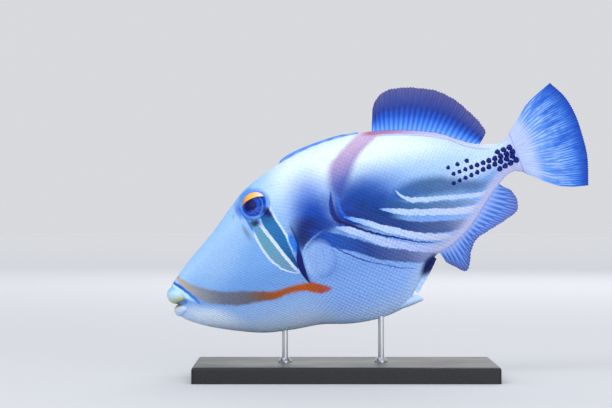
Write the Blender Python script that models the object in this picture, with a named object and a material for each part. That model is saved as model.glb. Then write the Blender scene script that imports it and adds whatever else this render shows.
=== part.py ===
"""Picasso triggerfish, life size, head down on a plain two-rod display stand.

The fish is shaped in its own frame: x runs from the lips to the tail, y to its right and z up its back.
The empty named swimming_pose then tips it head down and lifts it over the base.
"""

import math
from dataclasses import dataclass

import bmesh
import bpy
from mathutils import Matrix, Vector

MM = 0.001
GAP = 0.3 * MM
SIDES = (-1, 1)  # the fish's left, then its right

# Where the flesh is parted
GILL_CUT = 71.2 * MM
TAIL_CUT = 151.0 * MM
TAIL_END = 188.7 * MM

# Pose of the fish on its stand
HEAD_DOWN = math.radians(21.5)
BALANCE_X = 88.5 * MM  # how far the lips' tip lies ahead of the stand's middle, along the ground
LIPS_HEIGHT = 41.0 * MM

# Outline of the body: x and z in millimetres
BACK = (
    (0, 1.2), (3, 3.9), (10, 9.0), (20, 15.0), (32, 21.5), (44, 29.2), (54, 35.2), (66, 39.2),
    (76, 41.6), (90, 43.4), (105, 43.2), (117, 41.6), (128, 38.6), (142, 33.4), (156, 26.2),
    (168, 16.6), (176, 12.6), (183, 10.8), (188.7, 13.2),
)
BELLY = (
    (0, -10.5), (5, -15.2), (12, -21.0), (24, -28.2), (38, -35.0), (52, -38.8), (66, -41.6),
    (80, -46.6), (94, -49.4), (106, -49.3), (111, -47.6), (115.5, -43.4), (121, -38.6), (127, -34.0),
    (133, -30.2), (142, -28.6), (154, -23.2), (166, -14.6), (175, -8.6), (183, -5.6), (188.7, -8.0),
)
HALF_WIDTH = (
    (0, 4.4), (6, 6.2), (14, 8.6), (26, 11.8), (40, 14.8), (54, 17.0), (68, 18.6), (84, 18.9),
    (100, 18.2), (116, 16.2), (132, 13.2), (148, 9.8), (162, 7.0), (175, 5.0), (188.7, 3.4),
)
WIDEST_LEVEL = ((0, -4.6), (24, -6.0), (48, -4.0), (72, -1.0), (100, 2.0), (140, 3.6), (188.7, 2.6))
UPPER_FULLNESS = ((0, 2.0), (40, 2.1), (58, 2.35), (90, 2.1), (130, 1.9), (188.7, 2.0))
LOWER_FULLNESS = ((0, 2.0), (40, 1.9), (80, 1.6), (110, 1.5), (140, 1.7), (188.7, 2.0))
NOSE_ROUNDING = 4.5 * MM
MOUTH_LEVEL = -4.9 * MM

# The raised, scaly band under each of the long fins: start, end, height and half width
DORSAL_BAND = (123.5 * MM, 173.5 * MM, 1.5 * MM, 2.4 * MM)
ANAL_BAND = (132.0 * MM, 175.5 * MM, 1.5 * MM, 2.4 * MM)
BAND_FADE = 5.0 * MM

RING_SIDES = 40
RING_CROWDING = 0.22  # draws the points of a ring towards the back and the keel
HEAD_RINGS = 27
TORSO_RINGS = 24
TAIL_RINGS = 14

EYE = (56.0 * MM, 26.5 * MM)
EYE_RADIUS = 7.2 * MM
EYE_DEPTH = 4.4 * MM
EYE_SUNK = 2.0 * MM
EYE_OPENING = 6.5 * MM  # radius of the part of the eye that shows
EYE_RIM_WIDTH = 1.2 * MM
EYE_RIM_HEIGHT = 0.7 * MM

# Lips: x, y, z and thickness in the middle, then at a corner of the mouth
UPPER_LIP = ((2.9, 0, -1.4, 3.4), (8.2, 5.7, -5.0, 2.0))
LOWER_LIP = ((3.5, 0, -8.9, 2.9), (7.8, 5.4, -8.7, 1.5))
LIP_STEPS = 8
MOUTH_FRONT = (-2.0 * MM, -5.2 * MM)
MOUTH_CORNER = (6.9 * MM, -7.0 * MM)
MOUTH_OPENING = 1.2 * MM
MOUTH_CORNER_OPENING = 0.2 * MM
MOUTH_CUT_WIDTH = 14 * MM

NOSTRILS = ((46.8, 27.0), (44.6, 25.2))
NOSTRIL_RADIUS = 0.75 * MM

# The gill opening: x, z and half width of the slit, from its top down
GILL_SLIT = (
    (70.0, 11.0, 0.5), (68.9, 7.0, 0.6), (68.7, 0.5, 0.7), (67.2, -5.0, 0.9),
    (66.0, -10.0, 1.2), (67.0, -16.0, 1.0), (69.0, -19.6, 0.4),
)
GILL_SLIT_STEPS = 12

# Long fins, on the back and behind the vent
LONG_FIN_ROWS = 5
# Thickness of the web of each fin at its root and its edge, and how much thicker its rays are there
LONG_FIN_WEB = (1.2 * MM, 0.5 * MM)
LONG_FIN_RIDGE = (1.1 * MM, 0.6 * MM)
RIDGE_SHARP = 10  # degrees: the ridges of the rays stay crisp
RAY_TIP_STEP = 0.35 * MM  # how far the rays reach past the web between them


@dataclass(frozen=True)
class LongFin:
    """A fin whose rays stand in a row along the body's outline."""

    name: str
    outline: tuple  # of the body it stands on
    direction: int  # 1 up, -1 down
    base: tuple  # x of its first and its last ray, in metres
    tips: tuple  # x and z of the ray tips, from the first to the last, in millimetres
    rays: int
    sway: float  # how far the edge waves to either side, in metres


DORSAL_FIN = LongFin(
    name="dorsal_fin",
    outline=BACK,
    direction=1,
    base=(124.8 * MM, 172.6 * MM),
    tips=(
        (129.6, 50.0), (132.4, 53.2), (136, 55.2), (141, 55.7), (147, 54.4), (154, 51.4), (160, 48.2),
        (166, 43.2), (171, 36.4), (175, 28.6), (177.8, 21.6), (178.0, 18.0), (175.6, 15.6),
    ),
    rays=24,
    sway=1.6 * MM,
)
ANAL_FIN = LongFin(
    name="anal_fin",
    outline=BELLY,
    direction=-1,
    base=(134.2 * MM, 174.6 * MM),
    tips=(
        (135.8, -35.6), (139.6, -40.0), (143.2, -43.3), (146.4, -40.8), (149.6, -34.6), (154, -30.4),
        (160, -28.6), (166, -27.6), (172, -26.2), (177.8, -24.6), (180.2, -19.6), (179.4, -14.0),
        (176.0, -10.4),
    ),
    rays=22,
    sway=2.6 * MM,
)

# Tail fin: its upper and lower edges and its hind edge, in x and z
TAIL_FIN_TOP = ((188.7, 13.2), (195, 18.0), (200.5, 22.6), (207, 25.8), (217, 29.2))
TAIL_FIN_FOOT = ((188.7, -8.0), (195, -14.2), (201, -19.6), (208, -23.2), (216.0, -25.6))
TAIL_FIN_HIND = ((217, 29.2), (221.4, 20.0), (223.0, 10.0), (222.6, 0.0), (220.9, -12.0), (216.0, -25.6))
TAIL_FIN_RAYS = 12
TAIL_FIN_ROWS = 8
TAIL_FIN_WEB = (6.2 * MM, 0.5 * MM)
TAIL_FIN_FLESH = 0.32  # share of the fin's length over which the fleshy root thins out
TAIL_FIN_RIDGE = (1.1 * MM, 0.5 * MM)
TAIL_RAY_FORK = (0.35, 0.55)  # share of the fin's length where each ray starts and ends its forking

# Pectoral fin: its root on the flank and the arc of its ray tips, in x and z
PECTORAL_ROOT = ((72.2, -5.4), (72.4, -14.4))
PECTORAL_TIPS = (
    (75.4, -1.2), (79.0, 0.6), (82.8, -0.8), (85.2, -4.6), (86.0, -9.6), (85.0, -14.6), (82.0, -18.4),
    (78.0, -19.8), (74.6, -18.8),
)
PECTORAL_RAYS = 13
PECTORAL_ROWS = 4
PECTORAL_LIFT = 2.6 * MM
PECTORAL_WEB = (0.7 * MM, 0.5 * MM)
PECTORAL_RIDGE = (0.5 * MM, 0.4 * MM)

# The folded first dorsal fin, lying in its groove
GROOVE = (75.5 * MM, 118.5 * MM)
GROOVE_HALF_WIDTH = 1.9 * MM
GROOVE_DEPTH = 1.8 * MM
GROOVE_STEPS = 12
# Its spines: x of the root and the tip, and the radius there, in millimetres
FOLDED_SPINES = ((77.0, 99.0, 1.5, 0.5), (90.0, 106.0, 0.9, 0.4), (101.0, 112.0, 0.8, 0.35))
FOLDED_SPINE_STEPS = 4
FOLD_HEIGHT = 0.9 * MM
FOLD_STEPS = 16

# The belly flap behind the pelvic bone
FLAP_TOP = (115.9 * MM, 131.0 * MM)
FLAP_EDGE = ((116.9, -44.7), (119.4, -42.6), (121.6, -40.9), (124.2, -39.0), (128.4, -35.2), (131.8, -31.9))
FLAP_RAYS = 8
FLAP_ROWS = 3
FLAP_WEB = (1.5 * MM, 0.6 * MM)
FLAP_RIDGE = (0.5 * MM, 0.6 * MM)
# The blunt spine at the end of the pelvic bone: x, z and radius
PELVIC_SPINE = ((103.0, -46.4, 2.2), (110.0, -46.6, 2.4), (115.2, -47.0, 2.0), (118.2, -48.3, 0.7))

# Rows of thorns on each side of the tail stem: first x and z, last x and z, how many
THORN_ROWS = (
    ((153.4, 8.5), (163.4, 8.2), 3),
    ((179.4, 6.7), (185.8, 6.6), 3),
    ((154.8, 4.6), (186.4, 4.0), 11),
    ((153.2, 0.2), (185.6, 2.1), 11),
    ((177.4, -1.6), (186.6, -0.5), 4),
)
THORN_RADIUS = (0.9 * MM, 1.25 * MM)  # at the front and at the back
THORN_HEIGHT = (0.6 * MM, 1.3 * MM)
THORN_LEAN = 0.9 * MM  # how far each tip points forwards
THORN_SUNK = 0.6 * MM
THORN_SIDES = 5
THORN_BLUNTNESS = 0.12  # radius of the tip, as a share of the root's

# Display stand
BASE_SIZE = (150 * MM, 84 * MM, 8 * MM)
BASE_EDGE = 1.2 * MM
ROD_RADIUS = 1.5 * MM
ROD_PLACES = (-30 * MM, 18 * MM)
ROD_SOCKET_DEPTH = 9 * MM
ROD_SIDES = 12


def smooth_at(points, x):
    """Value at x of the smooth curve through (x, value) points, whose slopes follow their neighbours."""
    k = 0
    while k < len(points) - 2 and x > points[k + 1][0]:
        k += 1

    def slope(i):
        low, high = max(i - 1, 0), min(i + 1, len(points) - 1)
        return (points[high][1] - points[low][1]) / (points[high][0] - points[low][0])

    (x0, v0), (x1, v1) = points[k], points[k + 1]
    span = x1 - x0
    t = min(max((x - x0) / span, 0.0), 1.0)
    return (
        v0 * (2 * t**3 - 3 * t**2 + 1)
        + v1 * (3 * t**2 - 2 * t**3)
        + slope(k) * span * (t**3 - 2 * t**2 + t)
        + slope(k + 1) * span * (t**3 - t**2)
    )


def along(points, share):
    """Point at a share, 0 to 1, of the length of a smooth line through points, in millimetres."""
    lengths = [0.0]
    for a, b in zip(points, points[1:]):
        lengths.append(lengths[-1] + math.dist(a, b))
    place = share * lengths[-1]
    return [
        smooth_at([(s, p[axis]) for s, p in zip(lengths, points)], place) for axis in range(len(points[0]))
    ]


def ease(value, low, high):
    """0 below low, 1 above high and a smooth rise between."""
    t = min(max((value - low) / (high - low), 0.0), 1.0)
    return t * t * (3 - 2 * t)


def band_height(x, band):
    """Height in metres of the raised band under a long fin at x."""
    start, end, height, _ = band
    return height * ease(x, start - BAND_FADE, start) * (1 - ease(x, end, end + BAND_FADE))


def section(x):
    """Top, foot, widest level, half width and the two fullness powers of the flesh at x, in metres."""
    x_mm = x / MM
    return (
        smooth_at(BACK, x_mm) * MM,
        smooth_at(BELLY, x_mm) * MM,
        smooth_at(WIDEST_LEVEL, x_mm) * MM,
        smooth_at(HALF_WIDTH, x_mm) * MM,
        smooth_at(UPPER_FULLNESS, x_mm),
        smooth_at(LOWER_FULLNESS, x_mm),
    )


def flank(x, z):
    """Half width of the flesh at a point x, z of the side view."""
    top, foot, level, width, upper, lower = section(x)
    share = (z - level) / (top - level) if z > level else (level - z) / (level - foot)
    power = upper if z > level else lower
    return width * max(1 - min(share, 1) ** power, 0.0) ** (1 / power)


def flank_normal(x, z, side):
    """Outward direction of the flesh at x, z on one side."""
    step = 0.5 * MM
    slope_x = (flank(x + step, z) - flank(x - step, z)) / (2 * step)
    slope_z = (flank(x, z + step) - flank(x, z - step)) / (2 * step)
    return Vector((-slope_x, side, -slope_z)).normalized()


def ring_point(x, angle):
    """Point of the flesh at x, at an angle from the top of the back, with the bands under the long fins."""
    top, foot, level, width, upper, lower = section(x)
    angle -= RING_CROWDING * math.sin(2 * angle)
    c, s = math.cos(angle), math.sin(angle)
    power = upper if c > 0 else lower
    reach = top - level if c > 0 else level - foot
    y = math.copysign(width * abs(s) ** (2 / power), s)
    z = level + math.copysign(reach * abs(c) ** (2 / power), c)
    band = DORSAL_BAND if c > 0 else ANAL_BAND
    crest = band_height(x, band) * math.exp(-((y / band[3]) ** 4))
    # The body's outline already includes the band, so the flesh beside it drops instead
    z += math.copysign(crest - band_height(x, band), c) * abs(c) ** 4
    if x < NOSE_ROUNDING:
        k = math.sqrt(max(1 - (1 - x / NOSE_ROUNDING) ** 2, 0.0))
        y, z = y * k, MOUTH_LEVEL + (z - MOUTH_LEVEL) * k
    return Vector((x, y, z))


def material(name, colour, roughness, metallic=0.0):
    """A plain finish of one colour."""
    made = bpy.data.materials.new(name)
    made.use_nodes = True
    shader = made.node_tree.nodes["Principled BSDF"]
    shader.inputs["Base Color"].default_value = (*colour, 1.0)
    shader.inputs["Roughness"].default_value = roughness
    shader.inputs["Metallic"].default_value = metallic
    return made


def add_object(name, bm, parent=None):
    """Makes a bmesh an object, with its faces turned outwards."""
    bm.normal_update()
    bmesh.ops.recalc_face_normals(bm, faces=bm.faces)
    mesh = bpy.data.meshes.new(name)
    bm.to_mesh(mesh)
    bm.free()
    obj = bpy.data.objects.new(name, mesh)
    obj.parent = parent
    bpy.context.scene.collection.objects.link(obj)
    return obj


def flesh(name, start, end, rings, parent):
    """A closed length of the body between two flat cuts."""
    bm = bmesh.new()
    bmesh.ops.create_cone(bm, cap_ends=True, segments=RING_SIDES, radius1=1, radius2=1, depth=1)
    uprights = [e for e in bm.edges if abs(e.verts[0].co.z - e.verts[1].co.z) > 0.5]
    bmesh.ops.subdivide_edges(bm, edges=uprights, cuts=rings - 2, use_grid_fill=True)
    for v in bm.verts:
        share = v.co.z + 0.5
        if start < NOSE_ROUNDING:
            share = share**1.5  # rings crowd towards the lips
        x = start + share * (end - start)
        v.co = ring_point(x, math.atan2(v.co.y, v.co.x))
    return add_object(name, bm, parent)


def ball(name, centre, radii, turn=None, segments=14, rings=8, parent=None):
    """An ellipsoid, turned so that its z axis points along turn."""
    bm = bmesh.new()
    bmesh.ops.create_uvsphere(bm, u_segments=segments, v_segments=rings, radius=1)
    matrix = Matrix.Diagonal((*radii, 1))
    if turn is not None:
        matrix = turn.to_track_quat("Z", "Y").to_matrix().to_4x4() @ matrix
    bm.transform(Matrix.Translation(centre) @ matrix)
    return add_object(name, bm, parent)


def slab(columns, rows, place):
    """A closed thin sheet: place(u, v, side) gives each point, and both faces have the same triangles."""
    bm = bmesh.new()
    bmesh.ops.create_grid(bm, x_segments=columns, y_segments=rows, size=1)
    bmesh.ops.triangulate(bm, faces=bm.faces, quad_method="FIXED")
    top = bmesh.ops.extrude_face_region(bm, geom=bm.faces[:], use_keep_orig=True)["geom"]
    bmesh.ops.translate(bm, verts=[g for g in top if isinstance(g, bmesh.types.BMVert)], vec=(0, 0, 1))
    for v in bm.verts:
        v.co = place((v.co.x + 1) / 2, (v.co.y + 1) / 2, v.co.z * 2 - 1)
    return bm


def rod_shape(points, facing, sides=8):
    """A closed tapered rod through (centre, radius) pairs; facing points across it, against twist."""
    bm = bmesh.new()
    bmesh.ops.create_cone(bm, cap_ends=True, segments=sides, radius1=1, radius2=1, depth=1)
    uprights = [e for e in bm.edges if abs(e.verts[0].co.z - e.verts[1].co.z) > 0.5]
    if len(points) > 2:
        bmesh.ops.subdivide_edges(bm, edges=uprights, cuts=len(points) - 2, use_grid_fill=True)
    for v in bm.verts:
        k = round((v.co.z + 0.5) * (len(points) - 1))
        centre, radius = points[k]
        forwards = points[min(k + 1, len(points) - 1)][0] - points[max(k - 1, 0)][0]
        across = forwards.cross(facing).normalized()
        upwards = across.cross(forwards).normalized()
        v.co = centre + (across * v.co.x + upwards * v.co.y) * radius
    return bm


def boolean(obj, operation, pieces):
    """Joins or cuts obj with closed pieces in one step, applies it, and removes the pieces."""
    group = bpy.data.collections.new(obj.name + "_pieces")
    bpy.context.scene.collection.children.link(group)
    for piece in pieces:
        bpy.context.scene.collection.objects.unlink(piece)
        group.objects.link(piece)
    step = obj.modifiers.new(operation.lower(), "BOOLEAN")
    step.operation = operation
    step.operand_type = "COLLECTION"
    step.collection = group
    step.solver = "EXACT"
    bpy.context.view_layer.update()
    graph = bpy.context.evaluated_depsgraph_get()
    mesh = bpy.data.meshes.new_from_object(obj.evaluated_get(graph))
    obj.modifiers.clear()
    obj.data = mesh
    for piece in pieces:
        bpy.data.objects.remove(piece)
    bpy.data.collections.remove(group)


def keep_largest(obj):
    """Leaves a node its largest closed surface only."""
    bm = bmesh.new()
    bm.from_mesh(obj.data)
    bmesh.ops.triangulate(bm, faces=bm.faces)
    unseen, parts = set(bm.faces), []
    while unseen:
        front = [unseen.pop()]
        part = set(front)
        while front:
            face = front.pop()
            for edge in face.edges:
                for other in edge.link_faces:
                    if other in unseen:
                        unseen.discard(other)
                        part.add(other)
                        front.append(other)
        parts.append(part)
    parts.sort(key=lambda part: -sum(face.calc_area() for face in part))
    for part in parts[1:]:
        bmesh.ops.delete(bm, geom=list(part), context="FACES")
    bm.to_mesh(obj.data)
    bm.free()


def finish(obj, made_of, sharp_from=40):
    """Drops scraps, smooths the shading up to an angle in degrees and gives the material."""
    keep_largest(obj)
    obj.data.materials.clear()
    obj.data.materials.append(made_of)
    obj.data.shade_smooth()
    obj.data.set_sharp_from_angle(angle=math.radians(sharp_from))


def eye_place(side):
    """Centre of the eyeball and the direction in which it looks."""
    out = flank_normal(*EYE, side)
    on_skin = Vector((EYE[0], side * flank(*EYE), EYE[1]))
    return on_skin - out * EYE_SUNK, out


def eyeball(name, side, grow, parent):
    """An eyeball, or the cutter of its socket, which is larger by grow."""
    centre, out = eye_place(side)
    radii = (EYE_RADIUS + grow, EYE_RADIUS + grow, EYE_DEPTH + grow)
    return ball(name, centre, radii, out, segments=18, rings=10, parent=parent)


def eye_rim(side, parent):
    """The raised ring of skin round an eye."""
    centre, out = eye_place(side)
    bm = bmesh.new()
    ring = bmesh.ops.create_circle(bm, segments=8, radius=1)["verts"]
    for v in ring:
        v.co = Vector((EYE_OPENING + (v.co.x + 0.5) * EYE_RIM_WIDTH, 0, v.co.y * EYE_RIM_HEIGHT))
    bmesh.ops.spin(
        bm, geom=bm.edges[:], cent=(0, 0, 0), axis=(0, 0, 1), angle=2 * math.pi, steps=24, use_merge=True
    )
    turn = out.to_track_quat("Z", "Y").to_matrix().to_4x4()
    bm.transform(Matrix.Translation(centre + out * EYE_SUNK) @ turn)
    return add_object("eye_rim", bm, parent)


def lip(shape, parent):
    """A full lip that curves round the snout from one corner of the mouth to the other."""
    front, corner = Vector(shape[0]) * MM, Vector(shape[1]) * MM
    points = []
    for k in range(LIP_STEPS + 1):
        angle = math.pi * (k / LIP_STEPS - 0.5)
        x, _, z, radius = front.lerp(corner, 1 - math.cos(angle))
        points.append((Vector((x, corner.y * math.sin(angle), z)), radius))
    return add_object("lip", rod_shape(points, Vector((0, 0, 1)), 12), parent)


def mouth_cut(parent):
    """The wedge that parts the lips, widest in front."""
    front, corner = Vector(MOUTH_FRONT), Vector(MOUTH_CORNER)

    def place(u, v, side):
        x, middle = front.lerp(corner, u)
        height = MOUTH_OPENING * (1 - u) + MOUTH_CORNER_OPENING
        return Vector((x, (v - 0.5) * MOUTH_CUT_WIDTH, middle + side * height / 2))

    return add_object("mouth_cut", slab(4, 2, place), parent)


def gill_cut(side, parent):
    """The curved slit in front of the pectoral fin."""
    points = []
    for k in range(GILL_SLIT_STEPS + 1):
        x, z, half_width = [value * MM for value in along(GILL_SLIT, k / GILL_SLIT_STEPS)]
        points.append((Vector((x, side * flank(x, z), z)), half_width))
    return add_object("gill_cut", rod_shape(points, Vector((0, side, 0)), 8), parent)


def nostril_cut(place, side, parent):
    """A small pit in front of the eye."""
    x, z = place[0] * MM, place[1] * MM
    centre = Vector((x, side * flank(x, z), z))
    return ball("nostril_cut", centre, (NOSTRIL_RADIUS,) * 3, segments=8, rings=5, parent=parent)


def rod_point(place_x):
    """Where a stand rod enters the belly: its height in the world."""
    steps = [to_world(x * MM, smooth_at(BELLY, x) * MM) for x in range(round(TAIL_CUT / MM))]
    return min(steps, key=lambda step: abs(step[0] - place_x))[1]


def to_world(x, z):
    """World X and Z of a point of the fish's side view."""
    c, s = math.cos(HEAD_DOWN), math.sin(HEAD_DOWN)
    return x * c - z * s - BALANCE_X, x * s + z * c + LIPS_HEIGHT


def upright(name, place_x, low, high, radius):
    """A vertical rod of the stand, or the cutter of its socket."""
    bm = bmesh.new()
    bmesh.ops.create_cone(
        bm, cap_ends=True, segments=ROD_SIDES, radius1=radius, radius2=radius, depth=high - low
    )
    bmesh.ops.translate(bm, verts=bm.verts, vec=(place_x, 0, (low + high) / 2))
    return add_object(name, bm)


def socket_cut(place_x):
    """Cutter of the blind hole that takes a stand rod."""
    entry = rod_point(place_x)
    reach = ROD_SOCKET_DEPTH + GAP
    return upright("socket_cut", place_x, entry - reach, entry + reach, ROD_RADIUS + GAP)


def build_head(pose, skin):
    """The head, with its lips, mouth line, nostrils, eye rims, eye sockets and gill slits."""
    head = flesh("head", 0.25 * MM, GILL_CUT - GAP / 2, HEAD_RINGS, pose)
    lips = [lip(shape, pose) for shape in (UPPER_LIP, LOWER_LIP)]
    boolean(head, "UNION", lips + [eye_rim(side, pose) for side in SIDES])
    cuts = [mouth_cut(pose), socket_cut(ROD_PLACES[0])]
    for side in SIDES:
        cuts.append(eyeball("eye_cut", side, GAP, pose))
        cuts.append(gill_cut(side, pose))
        cuts += [nostril_cut(place, side, pose) for place in NOSTRILS]
    boolean(head, "DIFFERENCE", cuts)
    finish(head, skin)


def groove_cut(parent):
    """The groove along the back that takes the folded first fin."""
    start, end = GROOVE

    def place(u, v, side):
        x = start + u * (end - start)
        top = smooth_at(BACK, x / MM) * MM
        z = top + side * GROOVE_DEPTH
        return Vector((x, (v - 0.5) * 2 * GROOVE_HALF_WIDTH, z))

    return add_object("groove_cut", slab(GROOVE_STEPS, 1, place), parent)


def build_torso(pose, skin):
    """The deep middle of the body, from the gill slits to the tail stem."""
    torso = flesh("torso", GILL_CUT + GAP / 2, TAIL_CUT - GAP / 2, TORSO_RINGS, pose)
    points = [(Vector((x, 0, z)) * MM, radius * MM) for x, z, radius in PELVIC_SPINE]
    spine = rod_shape(points, Vector((0, 1, 0)), 8)
    boolean(torso, "UNION", [add_object("pelvic_spine", spine, pose)])
    boolean(torso, "DIFFERENCE", [groove_cut(pose), socket_cut(ROD_PLACES[1])])
    finish(torso, skin)


def thorn(x, z, share, side, parent):
    """One thorn of the tail stem, leaning forwards; share runs from 0 at the front of the stem to 1."""
    out = flank_normal(x, z, side)
    radius = THORN_RADIUS[0] + (THORN_RADIUS[1] - THORN_RADIUS[0]) * share
    height = THORN_HEIGHT[0] + (THORN_HEIGHT[1] - THORN_HEIGHT[0]) * share
    bm = bmesh.new()
    bmesh.ops.create_cone(
        bm, cap_ends=True, segments=THORN_SIDES, radius1=radius, radius2=radius * THORN_BLUNTNESS, depth=1
    )
    turn = out.to_track_quat("Z", "Y").to_matrix()
    on_skin = Vector((x, side * flank(x, z), z))
    for v in bm.verts:
        up = v.co.z + 0.5
        lean = Vector((-THORN_LEAN * up * share, 0, 0))
        v.co = on_skin + turn @ Vector((v.co.x, v.co.y, up * (height + THORN_SUNK) - THORN_SUNK)) + lean
    return add_object("thorn", bm, parent)


def build_tail_stem(pose, skin):
    """The narrowing end of the body, with its rows of thorns."""
    stem = flesh("tail_stem", TAIL_CUT + GAP / 2, TAIL_END - GAP, TAIL_RINGS, pose)
    thorns = []
    for first, last, count in THORN_ROWS:
        for k in range(count):
            x, z = Vector(first).lerp(Vector(last), k / (count - 1)) * MM
            share = (x - TAIL_CUT) / (TAIL_END - TAIL_CUT)
            thorns += [thorn(x, z, share, side, pose) for side in SIDES]
    boolean(stem, "UNION", thorns)
    finish(stem, skin)


def build_eyes(pose, glassy):
    """An eyeball in each socket."""
    for side in SIDES:
        eye = eyeball("eye_left" if side < 0 else "eye_right", side, 0, pose)
        finish(eye, glassy)


def blend(pair, share):
    """Value between the two of a pair."""
    return pair[0] + (pair[1] - pair[0]) * share


def ribbed(rays, u):
    """1 on a ray and 0 in the web between two rays, which have one column of points each."""
    return 1 - round(u * 2 * (rays - 1)) % 2


def ray_point(root, tip, v, ray):
    """Point at share v of a ray or of the web beside it, which ends a little short of the ray's tip."""
    short = 0 if ray else RAY_TIP_STEP
    return root + (tip - root) * v - (tip - root).normalized() * short * v


def build_long_fin(fin, pose, made_of):
    """A long fin: its rays lean from the body's outline to their tips, and its edge waves a little."""
    start, end = fin.base

    def place(u, v, side):
        ray = ribbed(fin.rays, u)
        x = start + u * (end - start)
        root = Vector((x, smooth_at(fin.outline, x / MM) * MM + fin.direction * GAP))
        point = ray_point(root, Vector(along(fin.tips, u)) * MM, v, ray)
        bend = fin.sway * v**1.6 * math.sin(2.2 * math.pi * u + 0.6)
        thickness = blend(LONG_FIN_WEB, v**0.7) + ray * blend(LONG_FIN_RIDGE, v)
        return Vector((point.x, bend + side * thickness / 2, point.y))

    made = add_object(fin.name, slab(2 * (fin.rays - 1), LONG_FIN_ROWS, place), pose)
    finish(made, made_of, RIDGE_SHARP)


def tail_ridge(u, v):
    """How far a point is raised as a ray of the tail fin: each ray forks into two on its way."""
    column = round(u * 4 * TAIL_FIN_RAYS)
    forked = ease(v, *TAIL_RAY_FORK)
    place = column % 4
    if place == 0:
        return 1.0 if column in (0, 4 * TAIL_FIN_RAYS) else 0.0
    if place == 2:
        return 1.0 - 0.85 * forked
    return 0.45 + 0.55 * forked


def build_tail_fin(pose, made_of):
    """The broad tail fin, fleshy at its root."""
    top_root, top_tip = Vector(TAIL_FIN_TOP[0]), Vector(TAIL_FIN_TOP[-1])
    foot_root, foot_tip = Vector(TAIL_FIN_FOOT[0]), Vector(TAIL_FIN_FOOT[-1])

    def place(u, v, side):
        raised = tail_ridge(u, v)
        root = top_root.lerp(foot_root, u) * MM
        point = ray_point(root, Vector(along(TAIL_FIN_HIND, u)) * MM, v, raised)
        # The two edges bow, and the rays between share their bow
        top_bow = Vector(along(TAIL_FIN_TOP, v)) - top_root.lerp(top_tip, v)
        foot_bow = Vector(along(TAIL_FIN_FOOT, v)) - foot_root.lerp(foot_tip, v)
        point += (top_bow * (1 - u) ** 2 + foot_bow * u**2) * MM
        oval = max(1 - abs(2 * u - 1) ** 2.2, 0.03) ** 0.45
        web = TAIL_FIN_WEB[1] + (TAIL_FIN_WEB[0] * oval - TAIL_FIN_WEB[1]) * (1 - v / TAIL_FIN_FLESH) ** 2
        thickness = web if v < TAIL_FIN_FLESH else TAIL_FIN_WEB[1]
        thickness += raised * blend(TAIL_FIN_RIDGE, v) * ease(v, 0, TAIL_FIN_FLESH)
        return Vector((point.x + GAP / 2, side * thickness / 2, point.y))

    fin = add_object("tail_fin", slab(4 * TAIL_FIN_RAYS, TAIL_FIN_ROWS, place), pose)
    finish(fin, made_of, RIDGE_SHARP)


def build_pectoral_fins(pose, made_of):
    """A small fan behind each gill slit, which opens away from the flank."""
    top, foot = (Vector(point) * MM for point in PECTORAL_ROOT)
    length = max(x for x, _ in PECTORAL_TIPS) * MM - top.x

    for side in SIDES:

        def place(u, v, face, side=side):
            ray = ribbed(PECTORAL_RAYS, u)
            point = ray_point(top.lerp(foot, u), Vector(along(PECTORAL_TIPS, u)) * MM, v, ray)
            inner = flank(*point) + GAP + PECTORAL_LIFT * max((point.x - top.x) / length, 0) ** 1.4
            thickness = blend(PECTORAL_WEB, v) + ray * blend(PECTORAL_RIDGE, v)
            return Vector((point.x, side * (inner + (thickness if face > 0 else 0)), point.y))

        name = "pectoral_fin_left" if side < 0 else "pectoral_fin_right"
        fin = add_object(name, slab(2 * (PECTORAL_RAYS - 1), PECTORAL_ROWS, place), pose)
        finish(fin, made_of, RIDGE_SHARP)


def build_first_fin(pose, made_of):
    """The three folded spines and the web between them, lying in the groove."""
    start, end = GROOVE

    def place(u, v, side):
        x = start + GAP + u * (end - start - 2 * GAP)
        top = smooth_at(BACK, x / MM) * MM
        half = GROOVE_HALF_WIDTH - GAP
        y = (v - 0.5) * 2 * half
        crown = FOLD_HEIGHT * (1 - (y / half) ** 2) * ease(u, 0, 0.08) * (1 - 0.8 * u)
        return Vector((x, y, top + crown if side > 0 else top - GROOVE_DEPTH + GAP))

    fin = add_object("first_dorsal_fin", slab(FOLD_STEPS, 4, place), pose)
    spines = []
    for start_x, end_x, thick, thin in FOLDED_SPINES:
        points = []
        for k in range(FOLDED_SPINE_STEPS + 1):
            x = start_x + (end_x - start_x) * k / FOLDED_SPINE_STEPS
            radius = thick + (thin - thick) * k / FOLDED_SPINE_STEPS
            points.append((Vector((x, 0, smooth_at(BACK, x))) * MM, radius * MM))
        spines.append(add_object("folded_spine", rod_shape(points, Vector((0, 1, 0)), 8), pose))
    boolean(fin, "UNION", spines)
    finish(fin, made_of, RIDGE_SHARP)


def build_belly_flap(pose, made_of):
    """The flap of skin from the pelvic spine to the vent, stiffened by small ribs."""
    start, end = FLAP_TOP

    def place(u, v, side):
        rib = ribbed(FLAP_RAYS, u)
        x = start + u * (end - start)
        root = Vector((x, smooth_at(BELLY, x / MM) * MM - GAP))
        point = ray_point(root, Vector(along(FLAP_EDGE, u)) * MM, v, rib)
        thickness = blend(FLAP_WEB, v) + rib * blend(FLAP_RIDGE, v)
        return Vector((point.x, side * thickness / 2, point.y))

    flap = add_object("belly_flap", slab(2 * (FLAP_RAYS - 1), FLAP_ROWS, place), pose)
    finish(flap, made_of, RIDGE_SHARP)


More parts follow.
